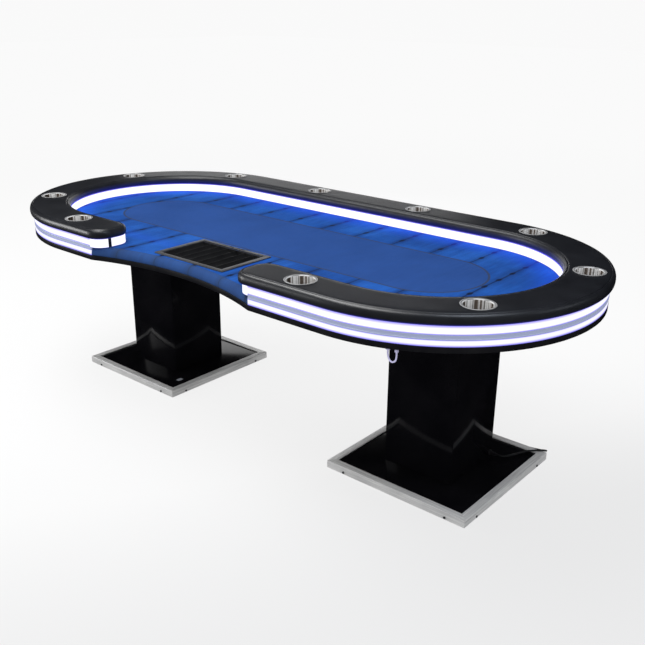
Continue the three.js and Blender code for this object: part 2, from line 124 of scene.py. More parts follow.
# ------------------------------------------------------------------ material graphs
class Graph:
    """A material's nodes, with short calls for the few kinds that the looks need."""

    def __init__(self, name):
        self.material = bpy.data.materials.new(name)
        self.material.use_nodes = True
        self.tree = self.material.node_tree
        self.shader = self.tree.nodes["Principled BSDF"]
        self.position = self.node("ShaderNodeTexCoord").outputs["Object"]

    def node(self, kind, **values):
        made = self.tree.nodes.new(kind)
        for name, value in values.items():
            setattr(made, name, value)
        return made

    def feed(self, socket, value):
        if isinstance(value, bpy.types.NodeSocket):
            self.tree.links.new(value, socket)
        else:
            socket.default_value = value

    def set(self, **values):
        for name, value in values.items():
            self.feed(self.shader.inputs[name.replace("_", " ")], value)

    def math(self, operation, *values):
        made = self.node("ShaderNodeMath", operation=operation)
        for socket, value in zip(made.inputs, values):
            self.feed(socket, value)
        return made.outputs[0]

    def times(self, first, second):
        return self.math("MULTIPLY", first, second)

    def minus(self, first, second):
        return self.math("SUBTRACT", first, second)

    def scaled(self, value, factor, offset):
        """value * factor + offset"""
        return self.math("MULTIPLY_ADD", value, factor, offset)

    def blend(self, first, share, second, other_share):
        """first * share + second * other_share"""
        return self.math("ADD", self.times(first, share), self.times(second, other_share))

    def radius(self, x, y):
        squares = self.math("POWER", x, 2.0), self.math("POWER", y, 2.0)
        return self.math("SQRT", self.math("ADD", *squares))

    def oval(self, x, y, half_straight=HALF_STRAIGHT):
        """Distance in plan from the middle line of an oval."""
        past = self.minus(self.math("ABSOLUTE", x), half_straight)
        return self.radius(self.math("MAXIMUM", past, 0.0), y)

    def off_nearest(self, value):
        """Distance to the nearest whole number."""
        return self.math("ABSOLUTE", self.minus(value, self.math("ROUND", value)))

    def axes(self):
        made = self.node("ShaderNodeSeparateXYZ")
        self.feed(made.inputs[0], self.position)
        return made.outputs

    def vector(self, x, y, z):
        made = self.node("ShaderNodeCombineXYZ")
        for socket, value in zip(made.inputs, (x, y, z)):
            self.feed(socket, value)
        return made.outputs[0]

    def stretch(self, *scale):
        made = self.node("ShaderNodeMapping")
        self.feed(made.inputs["Vector"], self.position)
        made.inputs["Scale"].default_value = scale
        return made.outputs[0]

    def noise(self, scale, detail=2.0, rough=0.5, vector=None):
        made = self.node("ShaderNodeTexNoise")
        self.feed(made.inputs["Vector"], vector or self.position)
        made.inputs["Scale"].default_value = scale
        made.inputs["Detail"].default_value = detail
        made.inputs["Roughness"].default_value = rough
        return made.outputs["Fac"]

    def cells(self, scale):
        made = self.node("ShaderNodeTexVoronoi")
        self.feed(made.inputs["Vector"], self.position)
        made.inputs["Scale"].default_value = scale
        return made.outputs["Distance"]

    def bands(self, direction, scale, distortion):
        made = self.node("ShaderNodeTexWave", wave_type="BANDS", bands_direction=direction)
        self.feed(made.inputs["Vector"], self.position)
        made.inputs["Scale"].default_value = scale
        made.inputs["Distortion"].default_value = distortion
        return made.outputs["Fac"]

    def ramp(self, value, *stops):
        made = self.node("ShaderNodeValToRGB")
        self.feed(made.inputs[0], value)
        elements = made.color_ramp.elements
        while len(elements) < len(stops):
            elements.new(0.5)
        for element, (place, colour) in zip(elements, stops):
            element.position = place
            element.color = (*colour, 1) if len(colour) == 3 else colour
        return made.outputs["Color"]

    def between(self, value, low, high, to_low=0.0, to_high=1.0):
        made = self.node("ShaderNodeMapRange", interpolation_type="SMOOTHSTEP")
        for socket, number in zip(made.inputs, (value, low, high, to_low, to_high)):
            self.feed(socket, number)
        return made.outputs[0]

    def mix(self, factor, first, second, blend="MIX"):
        made = self.node("ShaderNodeMix", data_type="RGBA", blend_type=blend)
        self.feed(made.inputs["Factor"], factor)
        for name, colour in (("A", first), ("B", second)):
            socket = next(s for s in made.inputs if s.name == name and s.type == "RGBA")
            if isinstance(colour, bpy.types.NodeSocket):
                self.feed(socket, colour)
            else:
                socket.default_value = (*colour, 1)
        return next(s for s in made.outputs if s.type == "RGBA")

    def bump(self, height, strength, distance=0.001, normal=None):
        made = self.node("ShaderNodeBump")
        made.inputs["Strength"].default_value = strength
        made.inputs["Distance"].default_value = distance
        self.feed(made.inputs["Height"], height)
        if normal is not None:
            self.feed(made.inputs["Normal"], normal)
        self.feed(self.shader.inputs["Normal"], made.outputs[0])
        return made.outputs[0]


# ------------------------------------------------------------------ materials
def vinyl():
    """Black grained upholstery vinyl with a soft sheen, shiniest over the outer roll, with a painted blue
    glow on its lower lip and inner face.
    """
    g = Graph("rail_vinyl")
    patches = g.noise(9, 4, 0.6)
    grain = g.cells(620)
    creases = g.noise(210, 3, 0.6)
    g.set(Base_Color=g.ramp(patches, (0.30, (0.0068, 0.0075, 0.0100)), (0.72, (0.0120, 0.0130, 0.0165))))
    x, y, z = g.axes()
    # painted light: the lower lip's mask carries a painted blue glow, in place of the lit bands' light on
    # the vinyl
    lip = g.between(z, CORE_LOW.z, CORE_LOW.z + 0.007, 1.0, 0.0)
    out = g.oval(x, y)
    # the vinyl is drawn tightest over the outer roll, so it shines most there
    tight = g.between(out, RAIL_OUTER - 0.015, RAIL_OUTER - 0.011)
    rough = g.scaled(creases, 0.14, g.scaled(tight, -0.02, 0.28))
    g.set(Roughness=g.scaled(patches, 0.06, rough))
    g.set(Specular_IOR_Level=g.scaled(tight, 0.22, 0.48))
    # painted light: a painted blue glow climbing the inner face, in place of the lit riser's light on it
    inner_face = g.between(out, RAIL_INNER + 0.006, RAIL_INNER + 0.014, 1.0, 0.0)
    painted_inner_glow = g.times(inner_face, g.between(z, CORE_LOW.z, CORE_LOW.z + 0.026, 1.0, 0.0))
    glow = g.scaled(painted_inner_glow, 0.14, g.times(lip, 0.35))
    g.set(Emission_Color=(0.02, 0.02, 0.60, 1), Emission_Strength=glow)
    soft = g.bump(g.noise(26, 2, 0.5), 0.10, 0.004)
    fine = g.bump(creases, 0.10, 0.0006, soft)
    g.bump(grain, 0.22, 0.0004, fine)
    return g.material


def weave(g):
    """Fine cloth weave, as relief only."""
    crossing = g.times(g.bands("X", 330, 0.6), g.bands("Y", 330, 0.6))
    soft = g.bump(g.noise(40, 3, 0.6), 0.06, 0.002)
    g.bump(crossing, 0.25, 0.0004, soft)


def playing_cloth(name, shaded_share=0.0):
    """Printed blue cloth: boards with dark joints outside the betting line, plain inside it.

    The second argument is the share of a flat, darker and greyer blue painted over the print on the dealer's
    roll: painted shade, for a roll that gets less light.
    """
    g = Graph(name)
    x, y, _ = g.axes()
    from_line = g.minus(g.oval(g.minus(x, BET_X), y, BET_HALF), BET_RADIUS)
    line = g.between(g.math("ABSOLUTE", from_line), 0.0026, 0.0050, 1.0, 0.0)
    inside = g.between(from_line, -0.002, 0.002, 1.0, 0.0)

    # printed joints across the table, each with lens-shaped widenings along it
    pitch = 0.166
    lens_pitch = 0.0885
    wander = g.times(g.minus(g.noise(7, 2), 0.5), 0.010)
    to_joint = g.times(g.off_nearest(g.math("DIVIDE", g.math("ADD", x, wander), pitch)), pitch)
    lens = g.between(g.off_nearest(g.math("DIVIDE", y, lens_pitch)), 0.02, 0.24, 1.0, 0.0)
    reach = g.scaled(lens, 0.0058, 0.0027)
    joint = g.between(g.math("DIVIDE", to_joint, reach), 0.55, 1.15, 1.0, 0.0)
    depth = g.scaled(lens, 0.25, 0.72)
    joint = g.times(g.times(joint, depth), g.minus(1.0, inside))

    # brushed streaks of the print, running across the table, and a broad mottle
    streaks = g.noise(1, 5, 0.65, g.stretch(95, 9, 9))
    mottle = g.noise(5.5, 3, 0.55)
    tone = g.blend(streaks, 0.40, mottle, 0.60)
    boards = g.ramp(tone, (0.30, (0.0018, 0.026, 0.130)), (0.50, (0.0036, 0.042, 0.195)),
                    (0.70, (0.0080, 0.068, 0.285)))
    plank = g.between(to_joint, 0.0, 0.030, 0.70, 1.10)
    boards = g.mix(1.0, boards, g.vector(plank, plank, plank), "MULTIPLY")
    centre = g.ramp(tone, (0.30, (0.0075, 0.036, 0.145)), (0.70, (0.0115, 0.048, 0.190)))
    colour = g.mix(inside, boards, centre)
    colour = g.mix(joint, colour, (0.0020, 0.0060, 0.0220))
    colour = g.mix(g.times(line, 0.85), colour, (0.022, 0.032, 0.060))
    # painted shade: a flat darker blue covers part of the print, a shaded copy of the same cloth
    if shaded_share:
        colour = g.mix(shaded_share, colour, (0.022, 0.040, 0.085))
    g.set(Base_Color=colour)
    g.set(Roughness=g.scaled(tone, 0.10, 0.80), Specular_IOR_Level=0.08)
    # painted light: a blue glow painted into the cloth nearest the riser, in place of the lit riser's light
    # on it
    painted_riser_glow = g.math("POWER", g.between(g.oval(x, y), RISER_R - 0.17, RISER_R), 2.0)
    on_playing_side = g.between(y, -RISER_R + 0.02, -RISER_R + 0.10)
    painted_riser_glow = g.times(painted_riser_glow, on_playing_side)
    g.set(Emission_Color=(0.0, 0.045, 1.0, 1), Emission_Strength=g.times(painted_riser_glow, 0.36))
    weave(g)
    return g.material


def lit_band(name, low, high, strength, foot, head):
    """Milk diffuser lit from inside: white across the middle, blue-violet along both edges.

    foot and head are the shares of its height that the lower and upper edges take up.
    """
    g = Graph(name)
    _, _, z = g.axes()
    height = g.math("DIVIDE", g.minus(z, low), high - low)
    dots = g.noise(1, 1, 0.4, g.stretch(5, 5, 1))
    white = (0.93, 0.93, 1.0)
    lilac = (0.50, 0.45, 1.0)
    deep = (0.030, 0.025, 0.70)
    glow = g.ramp(height, (0.0, deep), (foot * 0.5, lilac), (foot, white), (1 - head, white),
                  (1 - head * 0.5, lilac), (1.0, deep))
    g.set(Base_Color=(0.10, 0.10, 0.16, 1), Roughness=0.35)
    g.set(Emission_Color=glow)
    level = g.scaled(dots, 0.30, 0.85)
    g.set(Emission_Strength=g.times(level, strength))
    return g.material


def channel_grey():
    """Satin channel between the two lit bands, with their light on it painted in as a steady glow."""
    g = Graph("channel_grey")
    grain = g.noise(1, 3, 0.6, g.stretch(30, 30, 900))
    g.set(Base_Color=g.ramp(grain, (0.3, (0.20, 0.22, 0.30)), (0.7, (0.27, 0.29, 0.38))))
    g.set(Metallic=0.35, Roughness=g.scaled(grain, 0.15, 0.32))
    # painted light: a pale blue emission stands in for the bands' light on the channel
    g.set(Emission_Color=(0.36, 0.41, 0.60, 1), Emission_Strength=0.50)
    g.bump(grain, 0.05, 0.0003)
    return g.material


def moulded(name, low, high, rough, grain_scale=900, grain=0.12, metal=0.0, specular=0.5):
    """Moulded or coated surface: close colour range, fine pebble grain, uneven gloss."""
    g = Graph(name)
    cloud = g.noise(14, 4, 0.6)
    g.set(Base_Color=g.ramp(cloud, (0.3, low), (0.7, high)))
    g.set(Roughness=g.scaled(g.noise(60, 3, 0.6), 0.14, rough - 0.07))
    g.set(Metallic=metal, Specular_IOR_Level=specular)
    g.bump(g.noise(grain_scale, 2, 0.5), grain, 0.0003)
    return g.material


def gloss_black():
    """High-gloss laminate: near black, slightly wavy, with faint haze and dust."""
    g = Graph("gloss_black")
    haze = g.noise(7, 4, 0.6)
    dust = g.cells(260)
    specks = g.between(dust, 0.03, 0.06, 1.0, 0.0)
    colour = g.ramp(haze, (0.35, (0.0022, 0.0022, 0.0030)), (0.75, (0.0048, 0.0046, 0.0056)))
    g.set(Base_Color=g.mix(g.times(specks, 0.25), colour, (0.05, 0.05, 0.05)))
    g.set(Roughness=g.scaled(haze, 0.10, 0.06))
    g.set(Specular_IOR_Level=0.13)
    g.bump(g.noise(5, 2, 0.4), 0.04, 0.006)
    return g.material


def brushed_frame():
    """Brushed aluminium, the brushing running along each bar of the two square frames."""
    g = Graph("brushed_frame")
    low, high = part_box("base_frame_right")
    x, y, _ = g.axes()
    u = g.minus(g.math("ABSOLUTE", x), (low.x + high.x) / 2)
    v = g.minus(y, (low.y + high.y) / 2)
    on_x_side = g.math("GREATER_THAN", g.math("ABSOLUTE", u), g.math("ABSOLUTE", v))
    along_x = g.noise(1, 4, 0.7, g.stretch(6, 420, 420))
    along_y = g.noise(1, 4, 0.7, g.stretch(420, 6, 420))
    pick = g.node("ShaderNodeMix", data_type="FLOAT")
    g.feed(pick.inputs["Factor"], on_x_side)
    sockets = [s for s in pick.inputs if s.name in "AB" and s.type == "VALUE"]
    for socket, value in zip(sockets, (along_x, along_y)):
        g.feed(socket, value)
    streak = pick.outputs[0]
    stain = g.noise(6, 4, 0.6)
    tone = g.blend(streak, 0.7, stain, 0.3)
    g.set(Base_Color=g.ramp(tone, (0.36, (0.44, 0.44, 0.445)), (0.50, (0.66, 0.66, 0.66)),
                            (0.64, (0.86, 0.86, 0.85))))
    g.set(Metallic=0.40, Roughness=g.scaled(streak, 0.25, 0.25))
    g.bump(streak, 0.10, 0.0003)
    return g.material


def cup_steel():
    """Polished steel cup with painted light: upright dark and bright stripes painted inside as reflections,
    painted shade deeper down, and a grey flange round the mouth with painted highlights at its edges.

    The node's own origin is on the cup's axis at the height of its rim.
    """
    g = Graph("cup_steel")
    x, y, z = g.axes()
    # painted reflections: the upright stripes round the wall stand in for the surroundings reflected in the
    # steel
    turn = g.math("ARCTAN2", y, x)
    around = g.vector(g.math("COSINE", turn), g.math("SINE", turn), 0.0)
    broad = g.noise(1.5, 1, 0.4, around)
    narrow = g.noise(5, 2, 0.5, around)
    painted_reflection_stripe = g.blend(broad, 0.85, narrow, 0.15)
    steel = g.ramp(painted_reflection_stripe, (0.40, (0.030, 0.022, 0.016)), (0.45, (0.16, 0.13, 0.11)),
                   (0.48, (0.85, 0.84, 0.83)), (0.52, (0.06, 0.05, 0.04)),
                   (0.57, (0.90, 0.90, 0.89)), (0.64, (0.12, 0.10, 0.09)))
    mouth, flange_end = 0.0412, 0.0496
    radius = g.radius(x, y)
    rim = g.between(radius, mouth, mouth + 0.0004)
    # painted highlights: the flange is brighter at its inner lip and outer edge than across its middle
    flange = g.ramp(g.between(radius, mouth, flange_end), (0.0, (0.60, 0.60, 0.60)),
                    (0.22, (0.30, 0.30, 0.30)), (0.38, (0.09, 0.09, 0.10)),
                    (0.72, (0.11, 0.11, 0.12)), (0.93, (0.34, 0.34, 0.34)))
    # painted reflection: the flange's grey varies round the cup with the same stripes
    flange = g.mix(g.between(broad, 0.42, 0.58), flange, (0.20, 0.20, 0.20))
    # painted shade: the wall darkens deeper inside the cup
    deep = g.between(z, -0.068, -0.020, 0.35, 1.0)
    wall = g.mix(1.0, steel, g.mix(deep, (0.25, 0.24, 0.23), (1, 1, 1)), "MULTIPLY")
    g.set(Base_Color=g.mix(rim, wall, flange))
    g.set(Metallic=0.25, Roughness=g.scaled(rim, 0.30, g.scaled(narrow, 0.14, 0.18)))
    g.set(Specular_IOR_Level=g.scaled(rim, -0.40, 0.5))
    g.bump(g.noise(1, 3, 0.6, g.stretch(1, 1, 1200)), 0.05, 0.0002)
    return g.material


def plywood():
    """Raw board: grain along X and faint plies."""
    g = Graph("plywood")
    grain = g.noise(1, 5, 0.65, g.stretch(6, 120, 120))
    tone = g.blend(grain, 0.75, g.bands("Z", 110, 1.5), 0.25)
    g.set(Base_Color=g.ramp(tone, (0.2, (0.30, 0.19, 0.10)), (0.8, (0.56, 0.40, 0.24))))
    g.set(Roughness=g.scaled(grain, 0.2, 0.6))
    g.bump(grain, 0.2, 0.0005)
    return g.material


MATERIALS = {
    "rail_vinyl": vinyl(),
    "plywood": plywood(),
    "playing_cloth": playing_cloth("playing_cloth"),
    # painted shade: the dealer's roll as a darker, greyer copy of the playing cloth
    "bolster_cloth": playing_cloth("bolster_cloth", shaded_share=0.62),
    "deck_black": moulded("deck_black", (0.006, 0.006, 0.007), (0.013, 0.012, 0.012), 0.50, specular=0.18),
    "edge_trim": moulded("edge_trim", (0.004, 0.004, 0.006), (0.009, 0.009, 0.010), 0.36, specular=0.18),
    "led_riser": lit_band("led_riser", RISER_LOW.z, RISER_HIGH.z, 1.25, 0.05, 0.10),
    "led_upper": lit_band("led_upper", BAND_LOW.z, BAND_HIGH.z, 1.08, 0.16, 0.38),
    "led_lower": lit_band("led_lower", LOWER_LOW.z, LOWER_HIGH.z, 0.98, 0.36, 0.16),
    "channel_grey": channel_grey(),
    "led_strip": moulded("led_strip", (0.60, 0.60, 0.62), (0.75, 0.75, 0.76), 0.5),
    "screw_dark": moulded("screw_dark", (0.020, 0.020, 0.022), (0.045, 0.045, 0.048), 0.35, 700, 0.1, 0.6),
    "label_grey": moulded("label_grey", (0.20, 0.22, 0.25), (0.34, 0.36, 0.40), 0.5),
    "joint_black": moulded("joint_black", (0.006, 0.006, 0.007), (0.012, 0.012, 0.013), 0.45),
    "cup_steel": cup_steel(),
    "tray_metal": moulded("tray_metal", (0.030, 0.031, 0.034), (0.055, 0.056, 0.060), 0.40, 1400, 0.10, 0.3),
    "tray_plastic": moulded("tray_plastic", (0.006, 0.006, 0.007), (0.013, 0.013, 0.014), 0.38),
    "gloss_black": gloss_black(),
    "brushed_frame": brushed_frame(),
    "rubber_black": moulded("rubber_black", (0.010, 0.010, 0.010), (0.022, 0.022, 0.022), 0.75),
    "plate_steel": moulded("plate_steel", (0.09, 0.09, 0.10), (0.16, 0.16, 0.17), 0.5, 700, 0.15, 0.8),
    "driver_plastic": moulded("driver_plastic", (0.010, 0.010, 0.011), (0.020, 0.020, 0.021), 0.5),
    "lead_white": moulded("lead_white", (0.42, 0.40, 0.62), (0.58, 0.56, 0.78), 0.45),
    "cord_black": moulded("cord_black", (0.007, 0.007, 0.008), (0.014, 0.014, 0.015), 0.42),
}


# ------------------------------------------------------------------ mesh helpers
def add_piece(name, mesh, look, replaces=(), body=ROOT, sharp=35, location=None):
    """A visible piece on a body; edges over sharp degrees stay hard."""
    mesh.name = name
    mesh.materials.append(MATERIALS[look])
    mesh.polygons.foreach_set("use_smooth", [True] * len(mesh.polygons))
    mesh.set_sharp_from_angle(angle=math.radians(sharp))
    piece = bpy.data.objects.new(name, mesh)
    bpy.context.scene.collection.objects.link(piece)
    if location is not None:
        piece.location = location
    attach(piece, body)
    if replaces:
        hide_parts(*replaces)
    return piece


def finished(bm):
    mesh = bpy.data.meshes.new("mesh")
    bm.to_mesh(mesh)
    bm.free()
    return mesh


def mesh_from(verts, faces):
    mesh = bpy.data.meshes.new("mesh")
    mesh.from_pydata(verts, [], faces)
    bm = bmesh.new()
    bm.from_mesh(mesh)
    bmesh.ops.remove_doubles(bm, verts=bm.verts, dist=1e-6)
    bmesh.ops.dissolve_degenerate(bm, dist=1e-7, edges=bm.edges)
    bmesh.ops.recalc_face_normals(bm, faces=bm.faces)
    bm.to_mesh(mesh)
    bm.free()
    return mesh


def join_meshes(meshes):
    bm = bmesh.new()
    for mesh in meshes:
        bm.from_mesh(mesh)
        bpy.data.meshes.remove(mesh)
    return finished(bm)


def ring_faces(count, spans, rings):
    """Faces between neighbouring rings of a swept section, the last one joined to the first."""
    faces = []
    for i in range(spans):
        a, b = i * count, ((i + 1) % rings) * count
        for j in range(count):
            k = (j + 1) % count
            faces.append((a + j, a + k, b + k, b + j))
    return faces


def end_faces(count, total):
    return [tuple(range(count)), tuple(range(total - 1, total - 1 - count, -1))]


def corner_arcs(corners, r, steps):
    """Points along quarter circles, each given by its centre and its first angle in degrees."""
    points = []
    for cx, cy, start in corners:
        for i in range(steps + 1):
            a = math.radians(start + 90 * i / steps)
            points.append((cx + r * math.cos(a), cy + r * math.sin(a)))
    return points


# A path is a list of stations: a place in plan and the direction that points into the body.
def arc_path(cx, cy, radius, from_deg, to_deg, steps, inward=-1):
    stations = []
    for i in range(steps + 1):
        a = math.radians(from_deg + (to_deg - from_deg) * i / steps)
        ray = Vector((math.cos(a), math.sin(a)))
        stations.append((Vector((cx, cy)) + ray * radius, ray * inward))
    return stations


def line_path(start, end, steps, inward):
    """The stations strictly between two places."""
    a, b = Vector(start), Vector(end)
    return [(a.lerp(b, i / steps), Vector(inward)) for i in range(1, steps)]


END_STEPS = 72
CORNER_STEPS = 12
FAR_STEPS = 48
NEAR_STEPS = 16


def oval_ends(radius):
    """Round the right end, along the far side and round the left end."""
    return [
        *arc_path(HALF_STRAIGHT, 0, radius, -90, 90, END_STEPS),
        *line_path((HALF_STRAIGHT, radius), (-HALF_STRAIGHT, radius), FAR_STEPS, (0, -1)),
        *arc_path(-HALF_STRAIGHT, 0, radius, 90, 270, END_STEPS),
    ]


def skirt_path(radius, arm_end):
    """Along the skirt from the right arm's corner round the far side to the left arm's."""
    left, right = DEALER_X - arm_end, DEALER_X + arm_end
    return [
        (Vector((right, -radius)), Vector((0, 1))),
        *line_path((right, -radius), (HALF_STRAIGHT, -radius), 12, (0, 1)),
        *oval_ends(radius),
        *line_path((-HALF_STRAIGHT, -radius), (left, -radius), 12, (0, 1)),
        (Vector((left, -radius)), Vector((0, 1))),
    ]


def rail_path(inner, outer, arm_end, corner):
    """The armrest band's outer run, counter-clockwise from the right arm's end, and its inner
    run back again."""
    left, right = DEALER_X - arm_end - corner, DEALER_X + arm_end + corner
    low, high = corner - outer, -inner - corner
    outside = [
        *arc_path(right, low, corner, 180, 270, CORNER_STEPS),
        *line_path((right, -outer), (HALF_STRAIGHT, -outer), NEAR_STEPS, (0, 1)),
        *oval_ends(outer),
        *line_path((-HALF_STRAIGHT, -outer), (left, -outer), NEAR_STEPS, (0, 1)),
        *arc_path(left, low, corner, -90, 0, CORNER_STEPS),
    ]
    inside = [
        *arc_path(left, high, corner, 0, 90, CORNER_STEPS),
        *line_path((left, -inner), (-HALF_STRAIGHT, -inner), NEAR_STEPS, (0, -1)),
        *arc_path(-HALF_STRAIGHT, 0, inner, 270, 90, END_STEPS, 1),
        *line_path((-HALF_STRAIGHT, inner), (HALF_STRAIGHT, inner), FAR_STEPS, (0, 1)),
        *arc_path(HALF_STRAIGHT, 0, inner, 90, -90, END_STEPS, 1),
        *line_path((HALF_STRAIGHT, -inner), (right, -inner), NEAR_STEPS, (0, -1)),
        *arc_path(right, high, corner, 90, 180, CORNER_STEPS),
    ]
    return outside, inside


def at(station, inset, z):
    place, inward = station
    return (place.x + inward.x * inset, place.y + inward.y * inset, z)


def strip(path, profile, closed=False):
    """A closed profile of (inset, z) carried along a path, with flat ends if the path is open."""
    count = len(profile)
    verts = [at(s, inset, z) for s in path for inset, z in profile]
    if closed:
        return mesh_from(verts, ring_faces(count, len(path), len(path)))
    faces = ring_faces(count, len(path) - 1, len(path)) + end_faces(count, len(verts))
    return mesh_from(verts, faces)


def rounded_section(depth, low, high, r):
    """An upright bar's section with its four long edges rounded, as (inset, z)."""
    corners = ((r, low + r, 180), (depth - r, low + r, 270), (depth - r, high - r, 0), (r, high - r, 90))
    return corner_arcs(corners, r, 3)


def rounded_rectangle(low, high, r):
    corners = ((high[0] - r, high[1] - r, 0), (low[0] + r, high[1] - r, 90),
               (low[0] + r, low[1] + r, 180), (high[0] - r, low[1] + r, 270))
    return corner_arcs(corners, r, 6)


def prism(outline, low, high, edge, holes=()):
    """A flat plate over plan points, with holes through it and its edges rounded by edge."""
    bm = bmesh.new()
    rings = []
    for loop in (outline, *holes):
        verts = [bm.verts.new((p[0], p[1], low)) for p in loop]
        rings += [bm.edges.new((verts[i], verts[(i + 1) % len(verts)])) for i in range(len(verts))]
    filled = bmesh.ops.triangle_fill(bm, use_beauty=True, use_dissolve=True, edges=rings)
    faces = [f for f in filled["geom"] if isinstance(f, bmesh.types.BMFace)]
    bmesh.ops.recalc_face_normals(bm, faces=faces)
    raised = bmesh.ops.extrude_face_region(bm, geom=faces)
    top = [v for v in raised["geom"] if isinstance(v, bmesh.types.BMVert)]
    bmesh.ops.translate(bm, verts=top, vec=(0, 0, high - low))
    bmesh.ops.recalc_face_normals(bm, faces=bm.faces)
    if edge:
        bevel_sharp(bm, edge, 2)
    return finished(bm)


def bevel_sharp(bm, width, segments):
    """Rounds every edge that turns by more than 40 degrees."""
    limit = math.radians(40)
    sharp = [e for e in bm.edges if len(e.link_faces) == 2 and e.calc_face_angle(0) > limit]
    bmesh.ops.bevel(bm, geom=sharp, offset=width, segments=segments, profile=0.5, affect="EDGES",
                    clamp_overlap=True)


def block(low, high, edge, segments=3):
    """A box between two corners with rounded edges."""
    bm = bmesh.new()
    bmesh.ops.create_cube(bm, size=1)
    bmesh.ops.scale(bm, vec=Vector(high) - Vector(low), verts=bm.verts)
    bmesh.ops.translate(bm, vec=(Vector(high) + Vector(low)) / 2, verts=bm.verts)
    bevel_sharp(bm, edge, segments)
    return finished(bm)


def turned(profile, steps, axis=(0, 0, 1), origin=(0, 0, 0)):
    """A solid of revolution from (radius, height) pairs, about Z or another axis."""
    verts, faces = [], []
    rings = []
    for r, h in profile:
        if r < 1e-7:
            rings.append([len(verts)])
            verts.append(Vector((0, 0, h)))
            continue
        rings.append(list(range(len(verts), len(verts) + steps)))
        verts += [
            Vector((r * math.cos(2 * math.pi * i / steps), r * math.sin(2 * math.pi * i / steps), h))
            for i in range(steps)
        ]
    for a, b in zip(rings, rings[1:]):
        for i in range(steps):
            j = (i + 1) % steps
            if len(a) == 1:
                faces.append((a[0], b[i], b[j]))
            elif len(b) == 1:
                faces.append((a[i], a[j], b[0]))
            else:
                faces.append((a[i], a[j], b[j], b[i]))
    turn = Vector((0, 0, 1)).rotation_difference(Vector(axis))
    return mesh_from([tuple(turn @ v + Vector(origin)) for v in verts], faces)


# ------------------------------------------------------------------ cords
CORD_D = 0.0065
COIL_OUT_R = 0.0406
COIL_IN_R = 0.0334
COIL_ROWS = (0.0056, 0.0124, 0.0192)
COIL_CENTRE = Vector((0.600, 0.385))


def smooth(t):
    t = min(max(t, 0.0), 1.0)
    return t * t * (3 - 2 * t)


def coil_points():
    """The spare lead's 4.25 turns, clockwise from the side nearest the dealer."""
    low, middle, high = COIL_ROWS
    inwards = COIL_IN_R - COIL_OUT_R
    # (turn at which a move starts, how long it takes in turns, change of radius, of height)
    moves = [
        (0.80, 0.24, inwards, 0), (1.66, 0.20, 0, middle - low), (2.50, 0.20, 0, high - middle),
        (3.28, 0.26, -inwards, 0), (4.00, 0.25, 0, middle - high),
    ]
    turns = 4.25
    per_turn = 20
    points = []
    for i in range(1, int(turns * per_turn) + 1):
        t = i / per_turn
        r = COIL_OUT_R + sum(dr * smooth((t - start) / span) for start, span, dr, _ in moves)
        z = low + sum(dz * smooth((t - start) / span) for start, span, _, dz in moves)
        a = -math.pi / 2 - 2 * math.pi * t
        points.append((COIL_CENTRE.x + r * math.cos(a), COIL_CENTRE.y + r * math.sin(a), z))
    return points


def curve_piece(name, points, diameter, look, replaces):
    """A round cord through its points, as a Bezier curve."""
    data = bpy.data.curves.new(name, "CURVE")
    data.dimensions = "3D"
    data.bevel_depth = diameter / 2
    data.bevel_resolution = 5
    data.resolution_u = 6
    data.use_fill_caps = True
    spline = data.splines.new("BEZIER")
    spline.bezier_points.add(len(points) - 1)
    for i, (point, place) in enumerate(zip(spline.bezier_points, points)):
        here = Vector(place)
        before = Vector(points[max(i - 1, 0)])
        after = Vector(points[min(i + 1, len(points) - 1)])
        tangent = (after - before).normalized()
        point.co = here
        point.handle_left = here - tangent * (here - before).length / 3
        point.handle_right = here + tangent * (after - here).length / 3
    data.materials.append(MATERIALS[look])
    piece = bpy.data.objects.new(name, data)
    bpy.context.scene.collection.objects.link(piece)
    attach(piece, ROOT)
    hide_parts(*replaces)
    return piece


def middle_of(node):
    low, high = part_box(node)
    return (low + high) / 2


def relief_moulding(low, high):
    """Ribbed strain relief, along +X from the column's face."""
    length = high.x - low.x
    ribs = [(0, 0), (0.0098, 0), (0.0100, 0.0005), (0.0100, 0.0036), (0.0096, 0.0040), (0.0072, 0.0044)]
    for i in range(6):
        start = 0.0060 + i * 0.0034
        r = 0.0070 - i * 0.00038
        ribs += [(r, start), (r, start + 0.0020), (r - 0.0011, start + 0.0023), (r - 0.0011, start + 0.0031)]
    ribs += [(0.0044, length - 0.0012), (0.0040, length), (0, length)]
    return turned(ribs, 40, (1, 0, 0), (low.x, (low.y + high.y) / 2, (low.z + high.z) / 2))


def plug_moulding(axis):
    """Plain two-pin plug, along +Y from the place where the lead enters it."""
    sleeve = [(0, 0), (0.0040, 0), (0.0043, 0.001)]
    for i in range(4):
        start = 0.0030 + i * 0.0030
        r = 0.0047 + i * 0.0006
        sleeve += [(r, start), (r + 0.0004, start + 0.0016), (r - 0.0006, start + 0.0020),
                   (r - 0.0006, start + 0.0026)]
    body = [(0.0094, 0.0155), (0.0108, 0.0170), (0.0114, 0.0210), (0.0112, 0.0300), (0.0116, 0.0420),
            (0.0118, 0.0455), (0.0110, 0.0475), (0, 0.0475)]
    pin = [(0, 0.0470), (0.0024, 0.0470), (0.0024, 0.0650), (0.0018, 0.0665), (0, 0.0668)]
    parts = [turned(sleeve + body, 40, (0, 1, 0), axis)]
    for dx in (-0.007, 0.007):
        parts.append(turned(pin, 20, (0, 1, 0), axis + Vector((dx, 0, 0))))
    return join_meshes(parts)


